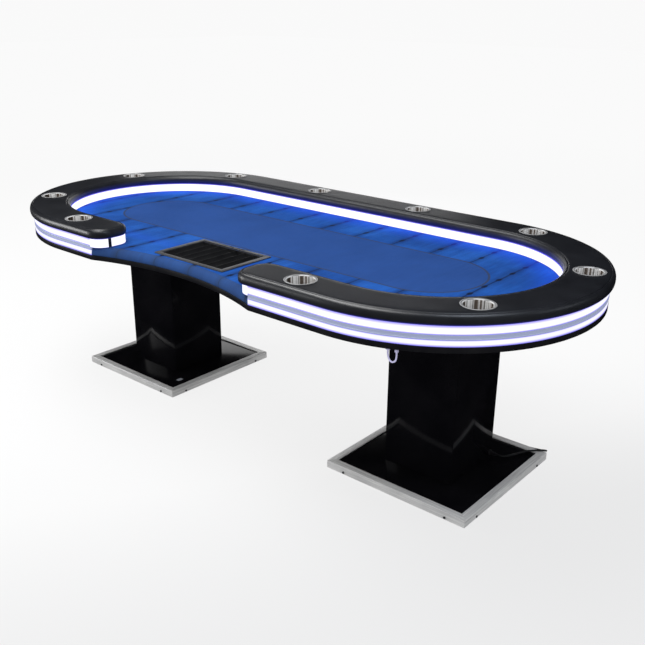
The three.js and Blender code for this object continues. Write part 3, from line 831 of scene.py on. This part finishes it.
def mains_lead():
    """Out of the right column, over the base, down to the floor and into a strapped coil."""
    low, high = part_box("strain_relief")
    exit_x, exit_y, exit_z = high.x, (low.y + high.y) / 2, (low.z + high.z) / 2
    relief = add_piece("strain_relief_moulding", relief_moulding(low, high), "cord_black",
                       ["strain_relief"])
    # the centre of a cord that lies on the floor
    floor_z = 0.00355
    route = [
        (exit_x + 0.0003, exit_y, exit_z), (0.8506, exit_y, exit_z), (0.8588, 0.1532, 0.0456),
        (0.8670, 0.1574, 0.0447), (0.8736, 0.1656, 0.0436), (0.8830, 0.1900, 0.0412),
        (0.8920, 0.2150, 0.0396), (0.9015, 0.2410, 0.0382), (0.9135, 0.2650, 0.0368),
        (0.9275, 0.2840, 0.0358), (0.9385, 0.2965, 0.0352), (0.9460, 0.3075, 0.0336),
        (0.9498, 0.3180, 0.0294), (0.9492, 0.3284, 0.0240), (0.9445, 0.3375, 0.0178),
        (0.9360, 0.3446, 0.0120), (0.9245, 0.3486, 0.0078), (0.9100, 0.3494, 0.0050),
        (0.8920, 0.3470, 0.0038), (0.8700, 0.3420, floor_z), (0.8400, 0.3360, floor_z),
        (0.8000, 0.3310, floor_z), (0.7500, 0.3280, floor_z), (0.7050, 0.3290, floor_z),
        (0.6740, 0.3350, 0.0040), (0.6480, 0.3402, 0.0048), (0.6240, 0.3435, 0.0054),
        (COIL_CENTRE.x, COIL_CENTRE.y - COIL_OUT_R, COIL_ROWS[0]),
    ]
    # out of the coil along +Y and straight into the plug
    plug_low, plug_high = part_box("mains_plug")
    axis = Vector((COIL_CENTRE.x - COIL_OUT_R, plug_low.y, (plug_low.z + plug_high.z) / 2))
    tail = [(axis.x, COIL_CENTRE.y + 0.012, axis.z), (axis.x, axis.y + 0.001, axis.z)]
    points = route + coil_points() + tail
    cord = curve_piece("mains_lead", points, CORD_D, "cord_black", ["mains_cord", "mains_cord_coil"])

    plug = add_piece("mains_plug_moulding", plug_moulding(axis), "cord_black", ["mains_plug"])
    tie = add_piece("cord_tie_strap", tie_band(*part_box("cord_tie")), "cord_black", ["cord_tie"])


def tie_band(low, high):
    """Strap wound once round the coil's section."""
    thick = 0.0012
    cx, cz = (low.x + high.x) / 2, (low.z + high.z) / 2
    half_x, half_z, r = (high.x - low.x) / 2, (high.z - low.z) / 2, 0.006
    ring = []
    for sx, sz, start in ((1, 1, 0), (-1, 1, 90), (-1, -1, 180), (1, -1, 270)):
        for i in range(7):
            a = math.radians(start + 15 * i)
            ray = Vector((math.cos(a), math.sin(a)))
            ring.append((Vector((sx * (half_x - r), sz * (half_z - r))) + ray * r, ray))
    verts, faces = [], []
    for y in (low.y, high.y):
        for inset in (0.0, thick):
            verts += [(cx + p.x - ray.x * inset, y, cz + p.y - ray.y * inset) for p, ray in ring]
    n = len(ring)
    for i in range(n):
        j = (i + 1) % n
        faces += [(i, j, 2 * n + j, 2 * n + i), (n + i, 3 * n + i, 3 * n + j, n + j),
                  (i, n + i, n + j, j), (2 * n + i, 2 * n + j, 3 * n + j, 3 * n + i)]
    return mesh_from(verts, faces)


def led_lead():
    """Short white lead under the near edge, from its clip down and back up into its plug."""
    low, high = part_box("led_connector")
    centre = middle_of("led_connector")
    shell = block((low.x, low.y, low.z + 0.003), high, 0.0009)
    ridges = [
        block((low.x - 0.0003, low.y + 0.001, low.z + 0.004 + i * 0.0022),
              (high.x + 0.0003, high.y - 0.001, low.z + 0.0050 + i * 0.0022), 0.0002, 1)
        for i in range(4)
    ]
    cone = [(0, low.z), (0.0030, low.z), (0.0036, low.z + 0.004), (0, low.z + 0.004)]
    boot = turned(cone, 24, origin=(centre.x, centre.y, 0))
    connector = add_piece("led_plug", join_meshes([shell, boot, *ridges]), "lead_white",
                          ["led_connector"])
    saddle = block(*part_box("led_lead_clip"), 0.0018, 4)
    add_piece("led_lead_saddle", saddle, "lead_white", ["led_lead_clip"])
    diameter = 0.005
    route = [
        (0.8500, -0.4870, 0.6324), (0.8501, -0.4870, 0.6299), (0.8500, -0.4870, 0.6260),
        (0.8497, -0.4872, 0.6205), (0.8490, -0.4876, 0.6150), (0.8475, -0.4883, 0.6109),
        (0.8454, -0.4892, 0.6080), (0.8428, -0.4903, 0.6063), (0.8400, -0.4916, 0.6060),
        (0.8369, -0.4930, 0.6072), (0.8340, -0.4944, 0.6100), (0.8315, -0.4955, 0.6145),
        (0.8296, -0.4963, 0.6200), (0.8285, -0.4968, 0.6261), (0.8280, -0.4970, 0.6320),
        (0.8279, -0.4970, 0.6368), (0.8280, -0.4970, 0.6401),
    ]
    lead = curve_piece("led_lead_loop", route, diameter, "lead_white", ["led_lead"])


# ------------------------------------------------------------------ armrest
def rail_pad():
    """The armrest as one closed skin: wrapped edge, outer roll, sewn crease and flat top."""
    outer, inner = rail_path(RAIL_INNER, RAIL_OUTER, PAD_END, PAD_CORNER)
    across = 6
    # stations on the two arm ends, between the corners
    left_end = line_path(outer[-1][0], inner[0][0], across, (-1, 0))
    right_end = line_path(inner[-1][0], outer[0][0], across, (1, 0))
    ring = [*outer, *left_end, *inner, *right_end]
    underside = CORE_HIGH.z + 0.0004
    lip = CORE_LOW.z
    roll_end = 0.0122
    profile = [
        (0.0097, underside), (0.0097, lip + 0.0002), (0.0085, lip + 0.0001), (0.0060, lip),
        (0.0034, lip + 0.0010), (0.0014, lip + 0.0040), (0.0004, lip + 0.0085),
        (0.0001, lip + 0.0135), (0.0006, lip + 0.0185),
        (0.0022, lip + 0.0238), (0.0048, lip + 0.0280), (0.0078, lip + 0.0306), (0.0104, lip + 0.0318),
        (0.0120, lip + 0.0314), (0.0131, lip + 0.0300), (0.0138, lip + 0.0297), (0.0146, lip + 0.0305),
        (0.0158, RAIL_Z - 0.0016), (0.0176, RAIL_Z - 0.0009), (0.0210, RAIL_Z - 0.0004),
        (0.0270, RAIL_Z - 0.0001), (0.0340, RAIL_Z),
    ]
    count = len(ring)
    verts, faces = [], []
    gathers = [gather_strength(place) for place, _ in ring]
    seams = [seam_depth(place) for place, _ in ring]
    for inset, z in profile:
        on_roll = inset < roll_end
        roll = max(0.0, 1 - abs(z - lip - 0.016) / 0.018) if on_roll else 0.0
        for i, station in enumerate(ring):
            pucker = gathers[i] * roll * 0.0006 * math.sin(i * 2.2)
            seam = seams[i] * (1 if on_roll else 0)
            verts.append(at(station, inset + pucker + seam, z))
    for k in range(len(profile) - 1):
        for i in range(count):
            j = (i + 1) % count
            faces.append((k * count + i, k * count + j, (k + 1) * count + j, (k + 1) * count + i))
    for row, z in ((0, underside), (len(profile) - 1, RAIL_Z)):
        faces += bridge(verts, row * count, len(outer), len(left_end), len(inner), across, z)
    pad = add_piece("armrest_pad", mesh_from(verts, faces), "rail_vinyl", ["rail_pad"])
    cut_cup_holes(pad)


def bridge(verts, base, n_outer, n_end, n_inner, across, z):
    """Closes the band between its outer and inner runs, station by station, at one height.

    mesh_from then merges its ends with the arm ends' own stations.
    """
    faces = []
    rows = []
    for i in range(n_outer):
        a = base + i
        b = base + n_outer + n_end + (n_inner - 1 - i)
        first, last = Vector(verts[a]), Vector(verts[b])
        row = [a]
        for j in range(1, across):
            p = first.lerp(last, j / across)
            row.append(len(verts))
            verts.append((p.x, p.y, z))
        row.append(b)
        rows.append(row)
    for first, second in zip(rows, rows[1:]):
        for j in range(across):
            faces.append((first[j], second[j], second[j + 1], first[j + 1]))
    return faces


def gather_strength(place):
    """1 where the vinyl puckers, round the four corners of the arm ends, and 0 elsewhere."""
    for side in (-1, 1):
        cx = DEALER_X + side * (PAD_END + PAD_CORNER)
        for cy in (PAD_CORNER - RAIL_OUTER, -RAIL_INNER - PAD_CORNER):
            from_centre = (place - Vector((cx, cy))).length
            if abs(from_centre - PAD_CORNER) < 0.004 and (place.x - cx) * side < 0:
                return 1.0
    return 0.0


SEAM_PLACES = (Vector((-0.700, -0.5553)), Vector((0.40, 0.559)))


def seam_depth(place):
    """Depth of the upright seams where two lengths of vinyl meet."""
    nearest = min((place - s).length for s in SEAM_PLACES)
    return 0.0011 * max(0.0, 1 - nearest / 0.012)


def cup_centre(node):
    """The middle of a cup holder's rim."""
    low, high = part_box(node)
    return Vector(((low.x + high.x) / 2, (low.y + high.y) / 2, high.z))


def cut_cup_holes(pad):
    """Cuts a round hole in the armrest for every cup holder and keeps the result as its mesh."""
    hole_r = 0.0442
    profile = [(0, -0.06), (hole_r, -0.06), (hole_r, 0.03), (0, 0.03)]
    cutters = [turned(profile, 72, origin=cup_centre(node)) for node in CUPS]
    tool = bpy.data.objects.new("cutter", join_meshes(cutters))
    bpy.context.scene.collection.objects.link(tool)
    modifier = pad.modifiers.new("holes", "BOOLEAN")
    modifier.operation = "DIFFERENCE"
    modifier.solver = "EXACT"
    modifier.object = tool
    bpy.context.view_layer.update()
    evaluated = pad.evaluated_get(bpy.context.evaluated_depsgraph_get())
    result = bpy.data.meshes.new_from_object(evaluated)
    pad.modifiers.remove(modifier)
    pad.data = result
    bpy.data.objects.remove(tool)


def cup_holders():
    """Ten turned cups, each on its own body, with heights measured down from the rim."""
    for number, node in enumerate(CUPS, 1):
        centre = cup_centre(node)
        low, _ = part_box(node)
        floor = low.z - centre.z
        profile = [
            (0, floor + 0.0004), (0.034, floor), (0.0385, floor + 0.0004), (0.0412, floor + 0.0022),
            (0.0420, floor + 0.0055), (0.0421, -0.0040), (0.0426, -0.0014), (0.0440, -0.0012),
            (0.0488, -0.0012), (0.0494, -0.0009), (0.0495, -0.0006), (0.0491, -0.0002), (0.0480, 0.0),
            (0.0455, 0.0), (0.0436, -0.0004), (0.0420, -0.0016), (0.0413, -0.0034), (0.0411, -0.0070),
            (0.0409, floor + 0.0070), (0.0402, floor + 0.0036), (0.0380, floor + 0.0019),
            (0.0345, floor + 0.0015), (0.0330, floor + 0.0018), (0.0315, floor + 0.0015),
            (0, floor + 0.0015),
        ]
        add_piece(f"cup_{number:02d}", turned(profile, 72), "cup_steel", [node],
                  body=node.replace("cup_holder_", "cup_"), location=centre)


# ------------------------------------------------------------------ lit bands
LED_THICK = 0.004


def bands():
    """Round the skirt: an upper and a lower lit band with the channel between them."""
    path = skirt_path(SKIRT_R, ARM_END + ARM_CORNER + 0.0005)
    for name, low, high in (("upper", BAND_LOW.z, BAND_HIGH.z), ("lower", LOWER_LOW.z, LOWER_HIGH.z)):
        band = strip(path, rounded_section(LED_THICK, low, high, 0.0012))
        add_piece(f"band_{name}", band, f"led_{name}", [f"led_band_{name}"])
    low, high = CHANNEL_LOW.z, CHANNEL_HIGH.z
    section = [(-0.0006, low), (0.0076, low), (0.0076, high), (-0.0006, high), (-0.0008, high - 0.0004),
               (-0.0008, high - 0.0022), (0.0009, high - 0.0034), (0.0009, low + 0.0034),
               (-0.0008, low + 0.0022), (-0.0008, low + 0.0004)]
    add_piece("band_channel", strip(path, section), "channel_grey", ["skirt_channel"])


def risers():
    """The lit riser round the playing surface, and its short ends beyond the two joint strips."""
    section = rounded_section(LED_THICK, RISER_LOW.z, RISER_HIGH.z, 0.0010)
    outside, inside = rail_path(RISER_R, SKIRT_R, ARM_END, ARM_CORNER)
    strip_low, strip_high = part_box("joint_strip_left")
    above, below = strip_high.y + 0.0003, strip_low.y - 0.0003
    left, right = (DEALER_X - ARM_END, Vector((-1, 0))), (DEALER_X + ARM_END, Vector((1, 0)))
    first, last = [(Vector((x, above)), inward) for x, inward in (left, right)]
    add_piece("riser_band", strip([first, *inside, last], section), "led_riser", ["led_riser"])
    for side, (x, inward) in (("left", left), ("right", right)):
        # the stations round the arm's outer corner, from the skirt up to the joint strip
        corner = [s for s in outside if s[0].y < min(below, -RISER_R - ARM_CORNER)
                  and abs(s[0].x - x) < ARM_CORNER + 0.0001]
        cap = (Vector((x, below)), inward)
        path = [*corner, cap] if side == "left" else [cap, *corner]
        add_piece(f"riser_end_{side}", strip(path, section), "led_riser", [f"led_riser_end_{side}"])
        cover = block(*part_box(f"joint_strip_{side}"), 0.0012)
        add_piece(f"joint_cover_{side}", cover, "joint_black", [f"joint_strip_{side}"])


# ------------------------------------------------------------------ playing surface
def plan(path, inset):
    return [at(s, inset, 0)[:2] for s in path]


def cut_points(inset, half):
    """Points along the dealer's curved edge, moved inwards, from the left end to the right."""
    steps = 40
    r = CUT_R + inset
    angles = [math.asin(half / r) * (2 * i / steps - 1) for i in range(steps + 1)]
    return [(DEALER_X + r * math.sin(a), CUT_CENTRE_Y + r * math.cos(a)) for a in angles]


def area_of(points):
    pairs = zip(points, points[1:] + points[:1])
    return abs(sum(a[0] * b[1] - b[0] * a[1] for a, b in pairs)) / 2


def playing_surface():
    """The printed cloth, drawn flat over the board between the riser and the dealer's roll."""
    _, inside = rail_path(RISER_R, SKIRT_R, ARM_END, ARM_CORNER)
    edge = cut_points(BOLSTER_DEPTH + 0.0005, ARM_END - 0.0003)
    outline = [*plan(inside, -0.0003), *reversed(edge)]
    low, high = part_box("tray_frame")
    margin = 0.0215
    hole = rounded_rectangle((low.x + margin, low.y + margin), (high.x - margin, high.y - margin), 0.004)
    thick = 0.0012
    mesh = prism(outline, CLOTH_Z - thick, CLOTH_Z, 0.0, [hole])
    cloth = add_piece("printed_cloth", mesh, "playing_cloth", ["field_cloth"])
    area_of(outline) - area_of(hole)


def bolster():
    """Soft roll along the dealer's edge, covered in the same cloth."""
    low, high = BOLSTER_LOW.z, BOLSTER_HIGH.z
    back = BOLSTER_DEPTH
    profile = [
        (back, low), (back, high), (0.0240, high + 0.0001), (0.0200, high - 0.0002),
        (0.0160, high - 0.0010), (0.0120, high - 0.0024), (0.0085, high - 0.0048),
        (0.0055, high - 0.0080), (0.0030, high - 0.0120), (0.0012, high - 0.0165),
        (0.0002, high - 0.0210), (0.0003, high - 0.0250), (0.0014, low + 0.0008), (0.0026, low),
    ]
    half = math.asin(CUT_HALF / CUT_R)
    steps = 120
    stations = []
    for i in range(steps + 1):
        a = half * (2 * i / steps - 1)
        ray = Vector((math.sin(a), math.cos(a)))
        stations.append((Vector((DEALER_X, CUT_CENTRE_Y)) + ray * CUT_R, ray))
    verts = []
    for i, station in enumerate(stations):
        # the cloth pulls in a little between staples
        tug = 0.00035 * math.sin(i * 0.9) + 0.0003 * math.sin(i * 0.37 + 1)
        for k, (inset, z) in enumerate(profile):
            weight = math.sin(math.pi * min(max((k - 3) / 8, 0), 1))
            verts.append(at(station, inset + max(tug, -inset) * weight, z))
    count = len(profile)
    faces = ring_faces(count, steps, steps + 1) + end_faces(count, len(verts))
    roll = add_piece("dealer_roll", mesh_from(verts, faces), "bolster_cloth", ["dealer_bolster"])


def deck_path(radius):
    """Round the whole deck, counter-clockwise, with the dealer's curve."""
    half = math.degrees(math.acos((-radius - CUT_CENTRE_Y) / CUT_R))
    curve = arc_path(DEALER_X, CUT_CENTRE_Y, CUT_R, 90 + half, 90 - half, 48, 1)
    path = [
        *line_path((DEALER_X + CUT_HALF, -radius), (HALF_STRAIGHT, -radius), 8, (0, 1)),
        *oval_ends(radius),
        *line_path((-HALF_STRAIGHT, -radius), (DEALER_X - CUT_HALF, -radius), 8, (0, 1)),
    ]
    # where the curve meets the straight edge, the inward direction is the corner's mitre
    for _, inward in (curve[0], curve[-1]):
        other = Vector((0, 1))
        inward.xy = (inward + other) / (1 + inward.dot(other))
    return [*path, *curve]


def deck():
    """The black board under the skirt, and the trim round its edge."""
    path = deck_path(TRIM_R)
    section = rounded_section(0.003, TRIM_LOW.z, TRIM_HIGH.z, 0.0009)
    add_piece("deck_edging", strip(path, section, closed=True), "edge_trim", ["deck_edge_trim"])
    board = prism(plan(path, 0.0033), DECK_LOW.z, DECK_HIGH.z, 0.0)
    add_piece("deck_panel", board, "deck_black", ["deck_board"])


# ------------------------------------------------------------------ chip tray
def tray():
    """Metal rim on the cloth with two slots in its far side, a sleeve under it, and the insert."""
    low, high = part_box("tray_frame")
    rim_z = CLOTH_Z + 0.0003
    well_low, well_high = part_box("chip_tray")
    room = Vector((0.0003, 0.0003))
    wall = Vector((0.002, 0.002))
    mouth_low, mouth_high = well_low.xy - room, well_high.xy + room
    mouth = rounded_rectangle(mouth_low, mouth_high, 0.0015)
    slots = [
        rounded_rectangle((x - 0.010, high.y - 0.011), (x + 0.010, high.y - 0.005), 0.0012)
        for x in ((low.x + high.x) / 2 - 0.015, (low.x + high.x) / 2 + 0.038)
    ]
    flange = prism(rounded_rectangle(low.xy, high.xy, 0.004), rim_z, high.z, 0.0007, [mouth, *slots])
    around = rounded_rectangle(mouth_low - wall, mouth_high + wall, 0.003)
    sleeve = prism(around, low.z, rim_z, 0.0, [mouth])
    add_piece("tray_rim", join_meshes([flange, sleeve]), "tray_metal", ["tray_frame"])
    add_piece("tray_insert", tray_mesh(well_low, well_high), "tray_plastic", ["chip_tray"],
              body="tray_insert", sharp=28)


def tray_mesh(low, high):
    """Moulded insert: seven half-round channels with fine ribs, and a low wall at each end."""
    channels = 7
    pitch = (high.x - low.x) / channels
    chip_r = 0.0203
    centre_z = high.z - 0.003
    wall = 0.006
    rib_height = 0.00045
    xs, depth = [], []
    for c in range(channels):
        cx = low.x + pitch * (c + 0.5)
        for i in range(25):
            a = math.pi * i / 24
            xs.append(cx - chip_r * math.cos(a))
            depth.append(centre_z - chip_r * math.sin(a))
        if c < channels - 1:
            edge = cx + pitch / 2
            xs += [edge - 0.0006, edge + 0.0006]
            depth += [high.z - 0.0004, high.z - 0.0004]
    xs = [low.x, low.x + 0.0006, *xs, high.x - 0.0006, high.x]
    depth = [high.z - 0.0004, high.z - 0.0002, *depth, high.z - 0.0002, high.z - 0.0004]
    ys = [low.y, low.y + 0.0008, low.y + wall - 0.0008, low.y + wall]
    length = high.y - low.y - 2 * wall
    ribs = 46
    for i in range(1, ribs * 2):
        ys.append(low.y + wall + length * i / (ribs * 2))
    ys += [high.y - wall, high.y - wall + 0.0008, high.y - 0.0008, high.y]
    last = len(ys) - 1
    verts, faces = [], []
    for j, y in enumerate(ys):
        in_wall = j <= 2 or j >= last - 2
        rib = rib_height if (j % 2 == 0 and 3 < j < last - 3) else 0.0
        for x, z in zip(xs, depth):
            top = high.z - (0.0006 if j in (0, last) else 0.0002)
            if in_wall:
                verts.append((x, y, top))
            else:
                verts.append((x, y, z + (rib if z < high.z - 0.004 else 0.0)))
    n = len(xs)
    for j in range(last):
        for i in range(n - 1):
            a = j * n + i
            faces.append((a, a + 1, a + n + 1, a + n))
    # skirt down to the base and a flat bottom
    border = [*range(n)] + [j * n + n - 1 for j in range(1, last + 1)]
    border += [last * n + i for i in range(n - 2, -1, -1)] + [j * n for j in range(last - 1, 0, -1)]
    start = len(verts)
    verts += [(verts[b][0], verts[b][1], low.z) for b in border]
    m = len(border)
    for i in range(m):
        k = (i + 1) % m
        faces.append((border[i], start + i, start + k, border[k]))
    faces.append(tuple(range(start, start + m)))
    return mesh_from(verts, faces)


# ------------------------------------------------------------------ pedestals
def pedestals():
    for side in ("left", "right"):
        frame_bars(side)
        panel = block(*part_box(f"base_panel_{side}"), 0.0008)
        add_piece(f"panel_{side}", panel, "gloss_black", [f"base_panel_{side}"])
        column(side)
        mat = block(*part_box(f"base_pad_{side}"), 0.0006)
        add_piece(f"floor_mat_{side}", mat, "rubber_black", [f"base_pad_{side}"])


def blank_label():
    """Small plain sticker near the front corner of the left base."""
    _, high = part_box("base_panel_left")
    place = Vector((-0.4824, -0.1427))
    half = Vector((0.0085, 0.0125))
    outline = rounded_rectangle(place - half, place + half, 0.0015)
    add_piece("blank_label", prism(outline, high.z + 0.00005, high.z + 0.0003, 0.0), "label_grey")


def column(side):
    """Square gloss column: four panels whose edges meet in a fine mitre at each corner."""
    low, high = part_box(f"column_{side}")
    half = (high.x - low.x) / 2
    thick = 0.015
    gap = HAIRLINE
    parts = []
    for place in quarter_turns(low, high):
        outline = [(-half + gap, -half), (half - gap, -half), (half - thick - gap, -half + thick),
                   (-half + thick + gap, -half + thick)]
        mesh = prism(outline, low.z, high.z, 0.0009)
        mesh.transform(place)
        parts.append(mesh)
    add_piece(f"column_faces_{side}", join_meshes(parts), "gloss_black", [f"column_{side}"], sharp=25)


def quarter_turns(low, high):
    """The four placings, about a box's upright axis, of something made on its -Y side."""
    middle = Matrix.Translation(((low.x + high.x) / 2, (low.y + high.y) / 2, 0))
    return [middle @ Matrix.Rotation(math.radians(90 * quarter), 4, "Z") for quarter in range(4)]


def frame_bars(side):
    """Four mitred angle bars round a base, with two pan-head screws in the outside of each."""
    low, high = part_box(f"base_frame_{side}")
    half = (high.x - low.x) / 2
    lip, sheet, r = LIP_W, 0.003, 0.0014
    z0, z1 = low.z, high.z
    section = [(0, z0 + 0.0004), (0.0004, z0), (sheet, z0), (sheet, z1 - sheet), (lip, z1 - sheet),
               (lip, z1 - 0.0005), (lip - 0.0005, z1)]
    section += [(r - r * math.cos(math.radians(a)), z1 - r + r * math.sin(math.radians(a)))
                for a in (90, 60, 30, 0)]
    screw = [(0, -0.0012), (0.0038, -0.0012), (0.0040, 0.0), (0.0040, 0.0016), (0.0038, 0.0023),
             (0.0028, 0.0027), (0.0014, 0.0028), (0.0012, 0.0025), (0, 0.0025)]
    parts, heads = [], []
    for place in quarter_turns(low, high):
        verts = []
        for end in (-1, 1):
            verts += [(end * (half - inset - HAIRLINE), -half + inset, z) for inset, z in section]
        n = len(section)
        faces = [(i, (i + 1) % n, n + (i + 1) % n, n + i) for i in range(n)]
        faces += [tuple(range(n)), tuple(range(2 * n - 1, n - 1, -1))]
        mesh = mesh_from(verts, faces)
        mesh.transform(place)
        parts.append(mesh)
        for x in (-half + SCREW_FROM_CORNER, half - SCREW_FROM_CORNER):
            head = turned(screw, 20, (0, -1, 0), (x, -half - 0.0002, SCREW_Z))
            head.transform(place)
            heads.append(head)
    add_piece(f"frame_bars_{side}", join_meshes(parts), "brushed_frame", [f"base_frame_{side}"])
    add_piece(f"frame_screws_{side}", join_meshes(heads), "screw_dark")


# ------------------------------------------------------------------ what stays from the frame
def dress_nodes():
    """Gives the frame's own solids the looks of their slots, for those that no piece replaces."""
    slots = {s["node"]: s["material_slot"] for s in frame["record"]["subparts"]}
    for name, node in frame["nodes"].items():
        material = MATERIALS.get(slots[name], MATERIALS["led_strip"])
        node.data.materials.clear()
        node.data.materials.append(material)


# ------------------------------------------------------------------ floor and light
def stage():
    """A pale floor with its light painted in as a glow, so it takes no shadow: painted shade darkens it
    towards the near right.
    """
    g = Graph("floor")
    x, y, _ = g.axes()
    # painted shade: the glow falls off towards the near right
    nearer = g.blend(x, 0.86, y, -0.50)
    shade = g.ramp(g.between(nearer, -0.4, 1.4), (0.0, (0.835, 0.835, 0.835)),
                   (0.45, (0.80, 0.80, 0.80)), (1.0, (0.69, 0.69, 0.692)))
    shade = g.mix(g.between(g.radius(x, y), 2.5, 9.0), shade, (0.86, 0.86, 0.86))
    g.set(Base_Color=(0.10, 0.10, 0.10, 1), Roughness=1.0, Specular_IOR_Level=0.0)
    g.set(Emission_Color=shade, Emission_Strength=1.0)
    mesh = bpy.data.meshes.new("floor")
    reach = 30
    corners = [(-reach, -reach, 0), (reach, -reach, 0), (reach, reach, 0), (-reach, reach, 0)]
    mesh.from_pydata(corners, [], [(0, 1, 2, 3)])
    mesh.materials.append(g.material)
    floor = bpy.data.objects.new("floor", mesh)
    bpy.context.scene.collection.objects.link(floor)
    floor.visible_glossy = False


def area_light(name, place, target, size, power, colour=(1, 1, 1)):
    data = bpy.data.lights.new(name, "AREA")
    data.shape = "RECTANGLE"
    data.size, data.size_y = size
    data.energy = power
    data.color = colour
    light = bpy.data.objects.new(name, data)
    light.location = place
    aim = Vector(target) - Vector(place)
    light.rotation_euler = aim.to_track_quat("-Z", "Y").to_euler()
    bpy.context.scene.collection.objects.link(light)


def lights():
    """An even white surround and five soft lamps, two of them cool ones at the right end."""
    world = bpy.data.worlds.new("studio")
    world.use_nodes = True
    background = world.node_tree.nodes["Background"]
    background.inputs["Color"].default_value = (1, 1, 1, 1)
    background.inputs["Strength"].default_value = 0.95
    bpy.context.scene.world = world
    world.cycles_visibility.glossy = False
    area_light("overhead", (-0.55, -0.9, 3.1), (0.0, -0.3, 0.7), (3.4, 1.1), 86)
    area_light("front_left", (-3.6, -2.7, 1.15), (-0.5, 0, 0.25), (2.2, 1.3), 60)
    area_light("back_left", (-2.6, 3.0, 1.15), (0, 0, 0.7), (2.8, 0.7), 11)
    area_light("right_end", (3.5, 1.0, 1.7), (1.1, 0, 0.72), (1.4, 0.8), 4, (0.82, 0.89, 1.0))
    area_light("right_roll", (2.0, -0.7, 2.7), (0.95, -0.4, 0.75), (1.1, 0.9), 17, (0.78, 0.87, 1.0))
    bpy.context.scene.view_settings.view_transform = "Standard"


# ------------------------------------------------------------------ build
make_camera()
mains_lead()
led_lead()
dress_nodes()
rail_pad()
cup_holders()
bands()
risers()
playing_surface()
bolster()
deck()
tray()
pedestals()
blank_label()
stage()
lights()
